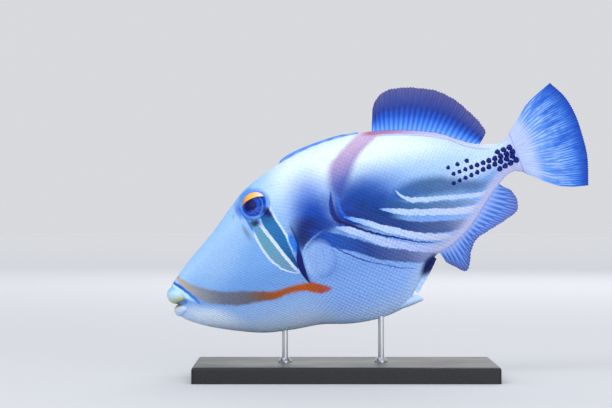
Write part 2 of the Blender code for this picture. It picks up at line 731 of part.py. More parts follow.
def build_stand(black, steel):
    """A flat base and the two rods that stand in it."""
    length, width, height = BASE_SIZE
    bm = bmesh.new()
    bmesh.ops.create_cube(bm, size=1)
    bmesh.ops.scale(bm, vec=(length, width, height), verts=bm.verts)
    bmesh.ops.translate(bm, vec=(0, 0, height / 2), verts=bm.verts)
    rounded = [e for e in bm.edges if max(v.co.z for v in e.verts) > 0]
    bmesh.ops.bevel(bm, geom=rounded, offset=BASE_EDGE, segments=2, profile=0.5, affect="EDGES")
    base = add_object("stand_base", bm)
    finish(base, black)
    for name, place_x in zip(("stand_rod_front", "stand_rod_back"), ROD_PLACES):
        rod = upright(name, place_x, height + GAP, rod_point(place_x) + ROD_SOCKET_DEPTH, ROD_RADIUS)
        finish(rod, steel)


def main():
    """Builds the fish and its stand."""
    for obj in list(bpy.data.objects):
        bpy.data.objects.remove(obj)
    pose = bpy.data.objects.new("swimming_pose", None)
    bpy.context.scene.collection.objects.link(pose)
    pose.rotation_euler = (0, -HEAD_DOWN, 0)
    pose.location = (-BALANCE_X, 0, LIPS_HEIGHT)
    skin = material("skin", (0.55, 0.70, 0.92), 0.42)
    fin = material("fin", (0.10, 0.28, 0.75), 0.5)
    glassy = material("eye", (0.03, 0.08, 0.30), 0.1)
    black = material("stand_black", (0.03, 0.03, 0.035), 0.45)
    steel = material("stand_steel", (0.62, 0.63, 0.65), 0.3, 1.0)
    build_head(pose, skin)
    build_torso(pose, skin)
    build_tail_stem(pose, skin)
    build_eyes(pose, glassy)
    build_first_fin(pose, fin)
    build_long_fin(DORSAL_FIN, pose, fin)
    build_long_fin(ANAL_FIN, pose, fin)
    build_tail_fin(pose, fin)
    build_pectoral_fins(pose, fin)
    build_belly_flap(pose, skin)
    build_stand(black, steel)


main()
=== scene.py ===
"""Looks of the picasso triggerfish display model: one skin, its scales, eyes, fins and stand.

The fish is shaped in its own frame, in millimetres: x runs from the lips to the tail, y to its right
and z up its back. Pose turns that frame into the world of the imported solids.
"""

import logging
import math
from collections.abc import Callable
from dataclasses import dataclass, field
from enum import Enum

import bmesh
import bpy
import numpy as np
from bmesh.types import BMesh, BMVert
from bpy.types import Material, Mesh, NodeSocket, Object
from mathutils import Matrix, Vector

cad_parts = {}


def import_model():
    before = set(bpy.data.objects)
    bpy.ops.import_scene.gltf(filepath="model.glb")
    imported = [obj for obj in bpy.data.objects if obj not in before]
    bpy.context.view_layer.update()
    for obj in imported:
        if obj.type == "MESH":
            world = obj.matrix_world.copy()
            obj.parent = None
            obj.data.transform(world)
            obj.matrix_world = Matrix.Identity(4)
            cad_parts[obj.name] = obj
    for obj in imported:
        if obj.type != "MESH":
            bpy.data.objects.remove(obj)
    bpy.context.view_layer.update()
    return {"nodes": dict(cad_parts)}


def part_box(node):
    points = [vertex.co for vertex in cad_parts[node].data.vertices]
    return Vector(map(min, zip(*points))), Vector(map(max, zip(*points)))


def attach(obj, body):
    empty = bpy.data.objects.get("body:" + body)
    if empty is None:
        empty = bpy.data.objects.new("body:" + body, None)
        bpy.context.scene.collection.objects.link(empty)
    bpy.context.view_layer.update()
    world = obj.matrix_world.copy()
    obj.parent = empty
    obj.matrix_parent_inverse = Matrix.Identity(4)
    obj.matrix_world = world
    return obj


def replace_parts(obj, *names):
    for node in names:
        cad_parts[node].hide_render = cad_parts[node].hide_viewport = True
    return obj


MM = 0.001
log = logging.getLogger("triggerfish")

Array = np.ndarray
Line = tuple[tuple[float, ...], ...]
Pair = tuple[float, float]
Stops = tuple[tuple[float, int], ...]  # places and their sRGB colours, written as 0xRRGGBB


class Side(Enum):
    """The two flanks of the fish, by the sign of y."""

    LEFT = -1
    RIGHT = 1

    @property
    def word(self) -> str:
        """The side's name in lower case."""
        return self.name.lower()


class Fit(Enum):
    """Which way a marking's line is read: x along the flank, or z up it."""

    ALONG = "along"
    UPRIGHT = "upright"


# Curves and easing


def smooth_at(points: Line, x: Array | float, column: int = 1) -> Array:
    """Values at x of the smooth curve through points, whose slopes follow their neighbours.

    Args:
        points: rows of (x, value, ...), in rising x.
        x: where to read the curve.
        column: which value of each row to read.

    Returns:
        One value for each x, held level past both ends.
    """
    table = np.array(points, dtype=float)
    places, values = table[:, 0], table[:, column]
    rows = np.arange(len(table))
    low, high = np.maximum(rows - 1, 0), np.minimum(rows + 1, len(table) - 1)
    slopes = (values[high] - values[low]) / (places[high] - places[low])
    x = np.asarray(x, dtype=float)
    k = np.clip(np.searchsorted(places, x) - 1, 0, len(table) - 2)
    span = places[k + 1] - places[k]
    t = np.clip((x - places[k]) / span, 0, 1)
    return (
        values[k] * (2 * t**3 - 3 * t**2 + 1)
        + values[k + 1] * (3 * t**2 - 2 * t**3)
        + slopes[k] * span * (t**3 - 2 * t**2 + t)
        + slopes[k + 1] * span * (t**3 - t**2)
    )


def along(points: Line, share: Array | float) -> Array:
    """Points at shares, 0 to 1, of the length of a smooth line of any dimension."""
    table = np.array(points, dtype=float)
    steps = np.linalg.norm(np.diff(table, axis=0), axis=1)
    lengths = np.concatenate(([0], np.cumsum(steps)))
    rows = tuple((length, *row) for length, row in zip(lengths, table))
    place = np.asarray(share, dtype=float) * lengths[-1]
    return np.stack([smooth_at(rows, place, column + 1) for column in range(table.shape[1])], axis=-1)


def ease(value: Array | float, low: float, high: float) -> Array:
    """0 below low, 1 above high and a smooth rise between."""
    t = np.clip((np.asarray(value, dtype=float) - low) / (high - low), 0, 1)
    return t * t * (3 - 2 * t)


def bell(value: Array, width: float) -> Array:
    """1 where value is nought, falling off over a width to both sides."""
    return np.exp(-((value / width) ** 2))


def blend(pair: Pair | tuple[Array, Array], share: Array | float) -> Array | float:
    """Value between the two of a pair."""
    return pair[0] + (pair[1] - pair[0]) * share


def crest(phase: Array) -> Array:
    """1 on a fin's rays, which stand where phase is whole, and 0 in the web between them."""
    return np.cos(np.pi * phase) ** 4


def from_line(points: Line, x: Array, z: Array) -> tuple[Array, Array, Array]:
    """How far points of the side view are from a smooth line.

    Args:
        points: rows of (x, z, ...) of the line.
        x: places along the fish.
        z: places up the fish.

    Returns:
        The distance, which side of the line the point lies on (1 behind it, -1 ahead, for a line that
        is read downwards) and the share of the line's length at the nearest point.
    """
    share = np.linspace(0, 1, 80)
    line = along(points, share)
    across = np.asarray(x)[..., None] - line[:, 0]
    distance = np.hypot(across, np.asarray(z)[..., None] - line[:, 1])
    nearest = np.argmin(distance, axis=-1)
    pick = nearest[..., None]
    away, behind = (np.take_along_axis(values, pick, axis=-1)[..., 0] for values in (distance, across))
    return away, np.sign(behind), share[nearest]


# The fish's frame and its flesh


@dataclass(frozen=True)
class Pose:
    """Where the fish's own frame lies in the world."""

    head_down: float = math.radians(21.5)
    balance: float = 88.5
    lips_height: float = 41.0

    def matrix(self) -> Matrix:
        """Turns millimetres of the fish's frame into metres of the world."""
        place = Matrix.Translation((-self.balance * MM, 0, self.lips_height * MM))
        return place @ Matrix.Rotation(-self.head_down, 4, "Y") @ Matrix.Scale(MM, 4)

    def world(self, points: Array) -> Array:
        """World places of points of the fish's frame, one a row."""
        matrix = np.array(self.matrix())
        return points @ matrix[:3, :3].T + matrix[:3, 3]


POSE = Pose()


@dataclass(frozen=True)
class Band:
    """The raised, scaly rim under a long fin."""

    start: float
    end: float
    height: float = 1.5
    half_width: float = 2.4
    fade: float = 5.0

    def rise(self, x: Array) -> Array:
        """Height of the rim's crest at x."""
        begun = ease(x, self.start - self.fade, self.start)
        return self.height * begun * (1 - ease(x, self.end, self.end + self.fade))


@dataclass(frozen=True)
class Flesh:
    """The body's form, which the skin, the scales and the roots of the fins all follow."""

    back: Line = (
        (0, 1.2), (3, 3.9), (10, 9.0), (20, 15.0), (32, 21.5), (44, 29.2), (54, 35.2), (66, 39.2),
        (76, 41.6), (90, 43.4), (105, 43.2), (117, 41.6), (128, 38.6), (142, 33.4), (156, 26.2),
        (168, 16.6), (176, 12.6), (183, 10.8), (188.7, 13.2),
    )
    belly: Line = (
        (0, -10.5), (5, -15.2), (12, -21.0), (24, -28.2), (38, -35.0), (52, -38.8), (66, -41.6),
        (80, -46.6), (94, -49.4), (106, -49.3), (111, -47.6), (115.5, -43.4), (121, -38.6), (127, -34.0),
        (133, -30.2), (142, -28.6), (154, -23.2), (166, -14.6), (175, -8.6), (183, -5.6), (188.7, -8.0),
    )
    half_width: Line = (
        (0, 4.4), (6, 6.2), (14, 8.6), (26, 11.8), (40, 14.8), (54, 17.0), (68, 18.6), (84, 18.9),
        (100, 18.2), (116, 16.2), (132, 13.2), (148, 9.8), (162, 7.0), (175, 5.0), (188.7, 3.4),
    )
    widest_level: Line = (
        (0, -4.6), (24, -6.0), (48, -4.0), (72, -1.0), (100, 2.0), (140, 3.6), (188.7, 2.6),
    )
    upper_fullness: Line = ((0, 2.0), (40, 2.1), (58, 2.35), (90, 2.1), (130, 1.9), (188.7, 2.0))
    lower_fullness: Line = ((0, 2.0), (40, 1.9), (80, 1.6), (110, 1.5), (140, 1.7), (188.7, 2.0))
    nose_rounding: float = 4.5
    mouth_level: float = -4.9
    crowding: float = 0.22
    dorsal_band: Band = Band(123.5, 173.5)
    anal_band: Band = Band(132.0, 175.5)
    tail_end: float = 188.7

    def section(self, x: Array) -> tuple[Array, ...]:
        """Top, foot, widest level, half width and the two fullness powers at x."""
        levels = (self.back, self.belly, self.widest_level, self.half_width)
        return tuple(smooth_at(curve, x) for curve in (*levels, self.upper_fullness, self.lower_fullness))

    def flank(self, x: Array, z: Array) -> Array:
        """Half width of the flesh at x, z of the side view."""
        top, foot, level, width, upper, lower = self.section(x)
        above = np.asarray(z) > level
        share = np.where(above, (z - level) / (top - level), (level - z) / (level - foot))
        power = np.where(above, upper, lower)
        return width * np.maximum(1 - np.minimum(share, 1) ** power, 0.0) ** (1 / power)

    def point(self, x: Array, angle: Array) -> Array:
        """Points of the surface at x, at an angle from the top of the back."""
        x = np.asarray(x, dtype=float)
        top, foot, level, width, upper, lower = self.section(x)
        angle = angle - self.crowding * np.sin(2 * angle)
        c, s = np.cos(angle), np.sin(angle)
        power = np.where(c > 0, upper, lower)
        reach = np.where(c > 0, top - level, level - foot)
        y = np.sign(s) * width * np.abs(s) ** (2 / power)
        z = level + np.sign(c) * reach * np.abs(c) ** (2 / power)
        crest = np.where(c > 0, self.dorsal_band.rise(x), self.anal_band.rise(x))
        spread = np.exp(-((y / self.dorsal_band.half_width) ** 4))
        z = z + np.sign(c) * crest * (spread - 1) * np.abs(c) ** 4
        k = np.sqrt(np.maximum(1 - (1 - np.minimum(x / self.nose_rounding, 1)) ** 2, 0.0))
        y, z = y * k, self.mouth_level + (z - self.mouth_level) * k
        return np.stack([x + 0 * y, y, z], axis=-1)

    def normal(self, x: Array, angle: Array) -> Array:
        """Outward directions of the surface at x and angle."""
        step_x, step_angle = 0.2, 0.01
        x = np.clip(x, step_x * 1.5, self.tail_end - step_x)
        lengthways = self.point(x + step_x, angle) - self.point(x - step_x, angle)
        round_it = self.point(x, angle + step_angle) - self.point(x, angle - step_angle)
        out = np.cross(lengthways, round_it)
        away = self.point(x, angle)
        away[..., 2] -= self.section(x)[2]
        away[..., 0] = 0
        out *= np.sign(np.sum(out * away, axis=-1, keepdims=True))
        return out / np.maximum(np.linalg.norm(out, axis=-1, keepdims=True), 1e-9)

    def flank_normal(self, x: float, z: float, side: Side) -> Vector:
        """Outward direction of the flesh at x, z of one flank."""
        step = 0.5
        slope_x = (self.flank(x + step, z) - self.flank(x - step, z)) / (2 * step)
        slope_z = (self.flank(x, z + step) - self.flank(x, z - step)) / (2 * step)
        return Vector((-float(slope_x), side.value, -float(slope_z))).normalized()

    def on_flank(self, x: float, z: float, side: Side) -> Vector:
        """Point of one flank at x, z."""
        return Vector((x, side.value * float(self.flank(x, z)), z))


FLESH = Flesh()


# Mesh making

Place = Callable[[Array, Array, Array], Array]


def mesh_of(name: str, bm: BMesh) -> Mesh:
    """A mesh of a bmesh, which is freed."""
    mesh = bpy.data.meshes.new(name)
    bm.to_mesh(mesh)
    bm.free()
    return mesh


class Bench:
    """Turns bmeshes and meshes into the model's pieces."""

    @staticmethod
    def piece(name: str, bm: BMesh, material: Material, slot: str) -> Object:
        """Makes a bmesh, in metres of the world, a piece that rides on the model's one body.

        Args:
            name: the piece's name.
            bm: its shape, freed here.
            material: its finish.
            slot: the record's material slot; not used.

        Returns:
            The piece's object.
        """
        mesh = mesh_of(name, bm)
        Bench.turn_out(mesh)
        return Bench.piece_of(name, mesh, material, slot)

    @staticmethod
    def piece_of(name: str, mesh: Mesh, material: Material, slot: str) -> Object:
        """Makes a finished mesh a smooth-shaded piece of the model."""
        mesh.materials.clear()
        mesh.materials.append(material)
        mesh.shade_smooth()
        obj = bpy.data.objects.new(name, mesh)
        bpy.context.scene.collection.objects.link(obj)
        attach(obj, "root")
        log.info("%s: %d faces", name, len(mesh.polygons))
        return obj

    @staticmethod
    def corners(mesh: Mesh) -> Array:
        """The mesh's vertices, one a row."""
        places = np.empty(len(mesh.vertices) * 3)
        mesh.vertices.foreach_get("co", places)
        return places.reshape(-1, 3)

    @staticmethod
    def put(mesh: Mesh, places: Array) -> None:
        """Moves the mesh's vertices to places of the fish's frame."""
        mesh.vertices.foreach_set("co", POSE.world(places).ravel())
        mesh.update()

    @staticmethod
    def unwrap(mesh: Mesh, name: str, places: Array) -> None:
        """Gives each vertex a place on a UV map of the mesh."""
        loops = np.empty(len(mesh.loops), dtype=np.int32)
        mesh.loops.foreach_get("vertex_index", loops)
        mesh.uv_layers.new(name=name)
        mesh.uv_layers[name].uv.foreach_set("vector", places[loops].ravel())

    @staticmethod
    def turn_out(mesh: Mesh) -> None:
        """Points the faces of a closed mesh outwards."""
        bm = bmesh.new()
        bm.from_mesh(mesh)
        bm.normal_update()
        bmesh.ops.recalc_face_normals(bm, faces=bm.faces)
        bm.to_mesh(mesh)
        bm.free()


def sheet_piece(
    name: str, quads: tuple[int, int], place: Place, material: Material, slot: str, node: str
) -> None:
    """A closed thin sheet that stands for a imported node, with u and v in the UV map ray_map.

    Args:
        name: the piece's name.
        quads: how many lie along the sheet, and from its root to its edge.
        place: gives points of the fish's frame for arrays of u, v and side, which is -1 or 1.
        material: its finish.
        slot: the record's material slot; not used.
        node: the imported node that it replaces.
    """
    bm = bmesh.new()
    bmesh.ops.create_grid(bm, x_segments=quads[0], y_segments=quads[1], size=1)
    top = bmesh.ops.extrude_face_region(bm, geom=bm.faces[:], use_keep_orig=True)["geom"]
    bmesh.ops.translate(bm, verts=[g for g in top if isinstance(g, BMVert)], vec=(0, 0, 1))
    mesh = mesh_of(name, bm)
    flat = Bench.corners(mesh)
    u, v = (flat[:, 0] + 1) / 2, (flat[:, 1] + 1) / 2
    Bench.put(mesh, place(u, v, flat[:, 2] * 2 - 1))
    Bench.unwrap(mesh, "ray_map", np.stack([u, v], axis=-1))
    Bench.turn_out(mesh)
    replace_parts(Bench.piece_of(name, mesh, material, slot), node)


def tube_bmesh(sides: int, rings: int) -> BMesh:
    """A closed upright tube of radius and height 1, with a number of rings of vertices."""
    bm = bmesh.new()
    bmesh.ops.create_cone(bm, cap_ends=True, segments=sides, radius1=1, radius2=1, depth=1)
    uprights = [e for e in bm.edges if abs(e.verts[0].co.z - e.verts[1].co.z) > 0.5]
    if rings > 2:
        bmesh.ops.subdivide_edges(bm, edges=uprights, cuts=rings - 2, use_grid_fill=True)
    return bm


def rod_bmesh(points: list[tuple[Vector, float]], facing: Vector, sides: int) -> BMesh:
    """A closed tapered rod in the world.

    Args:
        points: (centre, radius) pairs in the fish's frame.
        facing: a direction across the rod, which keeps it from twisting.
        sides: faces round it.

    Returns:
        Its bmesh.
    """
    bm = tube_bmesh(sides, len(points))
    last = len(points) - 1
    for v in bm.verts:
        k = round((v.co.z + 0.5) * last)
        centre, radius = points[k]
        forwards = points[min(k + 1, last)][0] - points[max(k - 1, 0)][0]
        across = forwards.cross(facing).normalized()
        upwards = across.cross(forwards).normalized()
        v.co = centre + (across * v.co.x + upwards * v.co.y) * radius
    bm.transform(POSE.matrix())
    return bm


def lathe_bmesh(profile: list[Pair], steps: int, closed: bool) -> BMesh:
    """A shape turned round z from a profile of (radius, height) points, which may close on itself."""
    bm = bmesh.new()
    ring = [bm.verts.new((radius, 0, height)) for radius, height in profile]
    for a, b in zip(ring, ring[1:] + ring[:1] if closed else ring[1:]):
        bm.edges.new((a, b))
    bmesh.ops.spin(bm, geom=bm.verts[:] + bm.edges[:], cent=(0, 0, 0), axis=(0, 0, 1), angle=2 * math.pi,
                   steps=steps, use_merge=True)
    bmesh.ops.remove_doubles(bm, verts=bm.verts, dist=1e-6)
    return bm


def joined(parts: list[BMesh]) -> BMesh:
    """One bmesh of several, which are freed."""
    whole = bmesh.new()
    for part in parts:
        mesh = mesh_of("part", part)
        whole.from_mesh(mesh)
        bpy.data.meshes.remove(mesh)
    return whole


# Paint


def linear(colour: int) -> tuple[float, ...]:
    """Scene-linear colour of an sRGB one."""
    shares = (c / 255 for c in colour.to_bytes(3, "big"))
    return (*(c / 12.92 if c <= 0.04045 else ((c + 0.055) / 1.055) ** 2.4 for c in shares), 1)


class Signal:
    """A node's output, which + - * ** and abs carry on into Math nodes."""

    def __init__(self, paint: "Paint", socket: NodeSocket) -> None:
        """Keeps the output and its material."""
        self.paint = paint
        self.socket = socket

    def __add__(self, other: "Value") -> "Signal":
        """The sum."""
        return self.paint.maths("ADD", self, other)

    def __sub__(self, other: "Value") -> "Signal":
        """The difference."""
        return self.paint.maths("SUBTRACT", self, other)

    def __mul__(self, other: "Value") -> "Signal":
        """The product."""
        return self.paint.maths("MULTIPLY", self, other)

    def __pow__(self, power: float) -> "Signal":
        """The power."""
        return self.paint.maths("POWER", self, power)

    def __abs__(self) -> "Signal":
        """The size without its sign."""
        return self.paint.maths("ABSOLUTE", self)


Value = Signal | float | tuple


class Paint:
    """A material under construction: most methods add a node and give back its output."""

    def __init__(self, name: str) -> None:
        """Starts a material with its Principled shader."""
        self.material = bpy.data.materials.new(name)
        self.material.use_nodes = True
        self.tree = self.material.node_tree
        self.shader = self.tree.nodes["Principled BSDF"]

    def feed(self, socket: NodeSocket, value: Value) -> None:
        """Links an output to a socket, or sets the socket's own value."""
        if isinstance(value, Signal):
            self.tree.links.new(value.socket, socket)
        else:
            socket.default_value = value

    def set(self, **values: Value) -> None:
        """Feeds the shader's sockets, whose names are given with _ for each space."""
        for name, value in values.items():
            self.feed(self.shader.inputs[name.replace("_", " ")], value)

    def node(
        self, kind: str, inputs: dict[str | int, Value], output: str | int = 0, **settings: str
    ) -> Signal:
        """Adds a node.

        Args:
            kind: its type, without ShaderNode.
            inputs: what each of its inputs is fed.
            output: which output to give back.
            settings: its properties.

        Returns:
            The output.
        """
        node = self.tree.nodes.new(f"ShaderNode{kind}")
        for name, setting in settings.items():
            setattr(node, name, setting)
        for key, value in inputs.items():
            self.feed(node.inputs[key], value)
        return Signal(self, node.outputs[output])

    def maths(self, operation: str, *values: Value) -> Signal:
        """A Math node."""
        return self.node("Math", dict(enumerate(values)), operation=operation)

    def distance(self, a: Signal, b: Signal) -> Signal:
        """Length of the hypotenuse over a and b."""
        return self.maths("SQRT", a**2 + b**2)

    def scale(
        self, value: Value, low: Value, high: Value, to: Pair = (0, 1), way: str = "LINEAR"
    ) -> Signal:
        """Maps low..high evenly to the pair in to, and holds it level outside."""
        inputs = {"Value": value, "From Min": low, "From Max": high, "To Min": to[0], "To Max": to[1]}
        return self.node("MapRange", inputs, "Result", interpolation_type=way)

    def spread(self, value: Value, low: Value, high: Value, to: Pair = (0, 1)) -> Signal:
        """Maps low..high to the pair in to as scale does, with soft ends."""
        return self.scale(value, low, high, to, "SMOOTHSTEP")

    def mix(self, share: Value, low: Value, high: Value, way: str = "MIX") -> Signal:
        """Mixes two colours."""
        return self.node("Mix", {0: share, 6: low, 7: high}, 2, data_type="RGBA", blend_type=way)

    def tinted(self, colour: Signal, value: Signal) -> Signal:
        """A colour times a value."""
        return self.mix(1, colour, self.node("CombineColor", {0: value, 1: value, 2: value}), "MULTIPLY")

    def ramp(self, share: Value, stops: Stops) -> Signal:
        """A colour ramp."""
        output = self.node("ValToRGB", {0: share}, "Color")
        elements = output.socket.node.color_ramp.elements
        while len(elements) < len(stops):
            elements.new(0.5)
        for element, (place, colour) in zip(elements, stops):
            element.position = place
            element.color = linear(colour)
        return output

    def drawn(self, x: Value, points: Line, low: float, high: float) -> Signal:
        """A curve through (x, value, ...) points, in rising x, read at x as a share of low to high."""
        start, end = points[0][0], points[-1][0]
        output = self.node("FloatCurve", {"Value": self.scale(x, start, end)})
        mapping = output.socket.node.mapping
        places = mapping.curves[0].points
        while len(places) < len(points):
            places.new(0.5, 0.5)
        for place, row in zip(places, points):
            place.location = ((row[0] - start) / (end - start), (row[1] - low) / (high - low))
        mapping.update()
        return output

    def outline(self, x: Value, points: Line, margin: float = 0.0) -> Signal:
        """The value at x of a curve through (x, value, ...) points, with room over and under it."""
        values = [row[1] for row in points]
        low, high = min(values) - margin, max(values) + margin
        return self.scale(self.drawn(x, points, low, high), 0, 1, (low, high))

    def noise(self, place: Signal, scale: float, detail: float = 3, roughness: float = 0.5) -> Signal:
        """Noise of 0 to 1, with scale waves for each unit of place."""
        inputs = {"Vector": place, "Scale": scale, "Detail": detail, "Roughness": roughness}
        return self.node("TexNoise", inputs)

    def flat(self, a: Signal, b: Signal) -> Signal:
        """A place of two measures."""
        return self.node("CombineXYZ", {0: a, 1: b})

    def object_place(self) -> Signal:
        """Place in the world, where every finished piece's object stands at the origin."""
        return self.node("TexCoord", {}, "Object")

    def fish_place(self) -> tuple[Signal, Signal, Signal]:
        """Place in the fish's frame, in millimetres: the vector, x and z."""
        place = self.node("Mapping", {
            "Vector": self.object_place(), "Scale": (MM, MM, MM), "Rotation": (0, -POSE.head_down, 0),
            "Location": (-POSE.balance * MM, 0, POSE.lips_height * MM),
        }, vector_type="TEXTURE")
        return place, self.node("SeparateXYZ", {0: place}, "X"), self.node("SeparateXYZ", {0: place}, "Z")

    def map_place(self, name: str) -> tuple[Signal, Signal, Signal]:
        """Place on a UV map: the vector, u and v."""
        place = self.node("UVMap", {}, uv_map=name)
        return place, self.node("SeparateXYZ", {0: place}, "X"), self.node("SeparateXYZ", {0: place}, "Y")

    def bump(self, height: Signal, distance: float) -> None:
        """Gives the shader a bump of a height field of 0 to 1, distance metres deep."""
        self.set(Normal=self.node("Bump", {"Strength": 1, "Distance": distance, "Height": height}))


@dataclass(frozen=True)
class Streak:
    """A line of colour on the flank: rows of (x, z, half width), read along x or up z."""

    line: Line
    colours: Stops
    softness: float = 0.5
    strength: float = 1.0
    fit: Fit = Fit.ALONG
    ends: float = 0.3  # over which its two ends fade
    margin: float = 0.01

    def lay(self, paint: Paint, under: Value, x: Signal, z: Signal) -> Signal:
        """Paints the streak over a colour.

        Args:
            paint: the material.
            under: the colour beneath.
            x: place along the fish.
            z: place up the fish.

        Returns:
            The colour with the streak on it.
        """
        upright = self.fit is Fit.UPRIGHT
        rows = tuple(sorted((row[1], row[0], row[2]) if upright else row for row in self.line))
        place, across = (z, x) if upright else (x, z)
        start, end = rows[0][0], rows[-1][0]
        middle = paint.outline(place, rows, self.margin)
        widest = max(row[2] for row in rows)
        width = paint.drawn(place, tuple((row[0], row[2]) for row in rows), 0, widest) * widest
        mask = paint.spread(width - abs(across - middle), 0, self.softness) * self.strength
        mask = mask * paint.spread(place, start - self.ends, start + self.ends)
        mask = mask * paint.spread(place, end + self.ends, end - self.ends)
        return paint.mix(mask, under, paint.ramp(paint.scale(place, start, end), self.colours))


@dataclass(frozen=True)
class Cloud:
    """A soft oval of colour on the flank; turn leans its length from x towards z, in degrees."""

    centre: Pair
    radii: Pair
    colour: int
    turn: float = 0.0
    edge: float = 0.6  # share of the radius over which it fades
    strength: float = 1.0

    def lay(self, paint: Paint, under: Value, x: Signal, z: Signal) -> Signal:
        """Paints the oval over a colour, as Streak.lay does."""
        c, s = math.cos(math.radians(self.turn)), math.sin(math.radians(self.turn))
        dx, dz = x - self.centre[0], z - self.centre[1]
        length = dx * (c / self.radii[0]) + dz * (s / self.radii[0])
        breadth = dz * (c / self.radii[1]) - dx * (s / self.radii[1])
        mask = paint.spread(paint.distance(length, breadth), 1, 1 - self.edge) * self.strength
        return paint.mix(mask, under, linear(self.colour))


# Colours of the living fish, with some light and shade painted among them
# the pale back's colour, which also carries a painted highlight along the back
PALE_BACK_AND_HIGHLIGHT = 0xE0F2FA
STRIPE_WHITE = 0xB6D2FC
STRIPE_BLUE = 0x3C82EB
NAVY = 0x0E165C
LILAC = 0xC4C8F0

GILL_SLIT: Line = (
    (69.7, 10.4, 0.15), (70.1, 7, 0.25), (70.1, 2, 0.4), (69.2, -2.5, 0.9),
    (68.1, -7, 1.7), (67.6, -11.5, 1.6), (67.8, -15.5, 1.1), (68.8, -19.6, 0.4),
)

# The black inside of the gill slit
SLIT_SHADE = Streak(
    GILL_SLIT, ((0, 0x000E60), (0.45, 0x001674), (0.65, 0x0032A0), (1, 0x0034A0)),
    softness=0.35, fit=Fit.UPRIGHT,
)

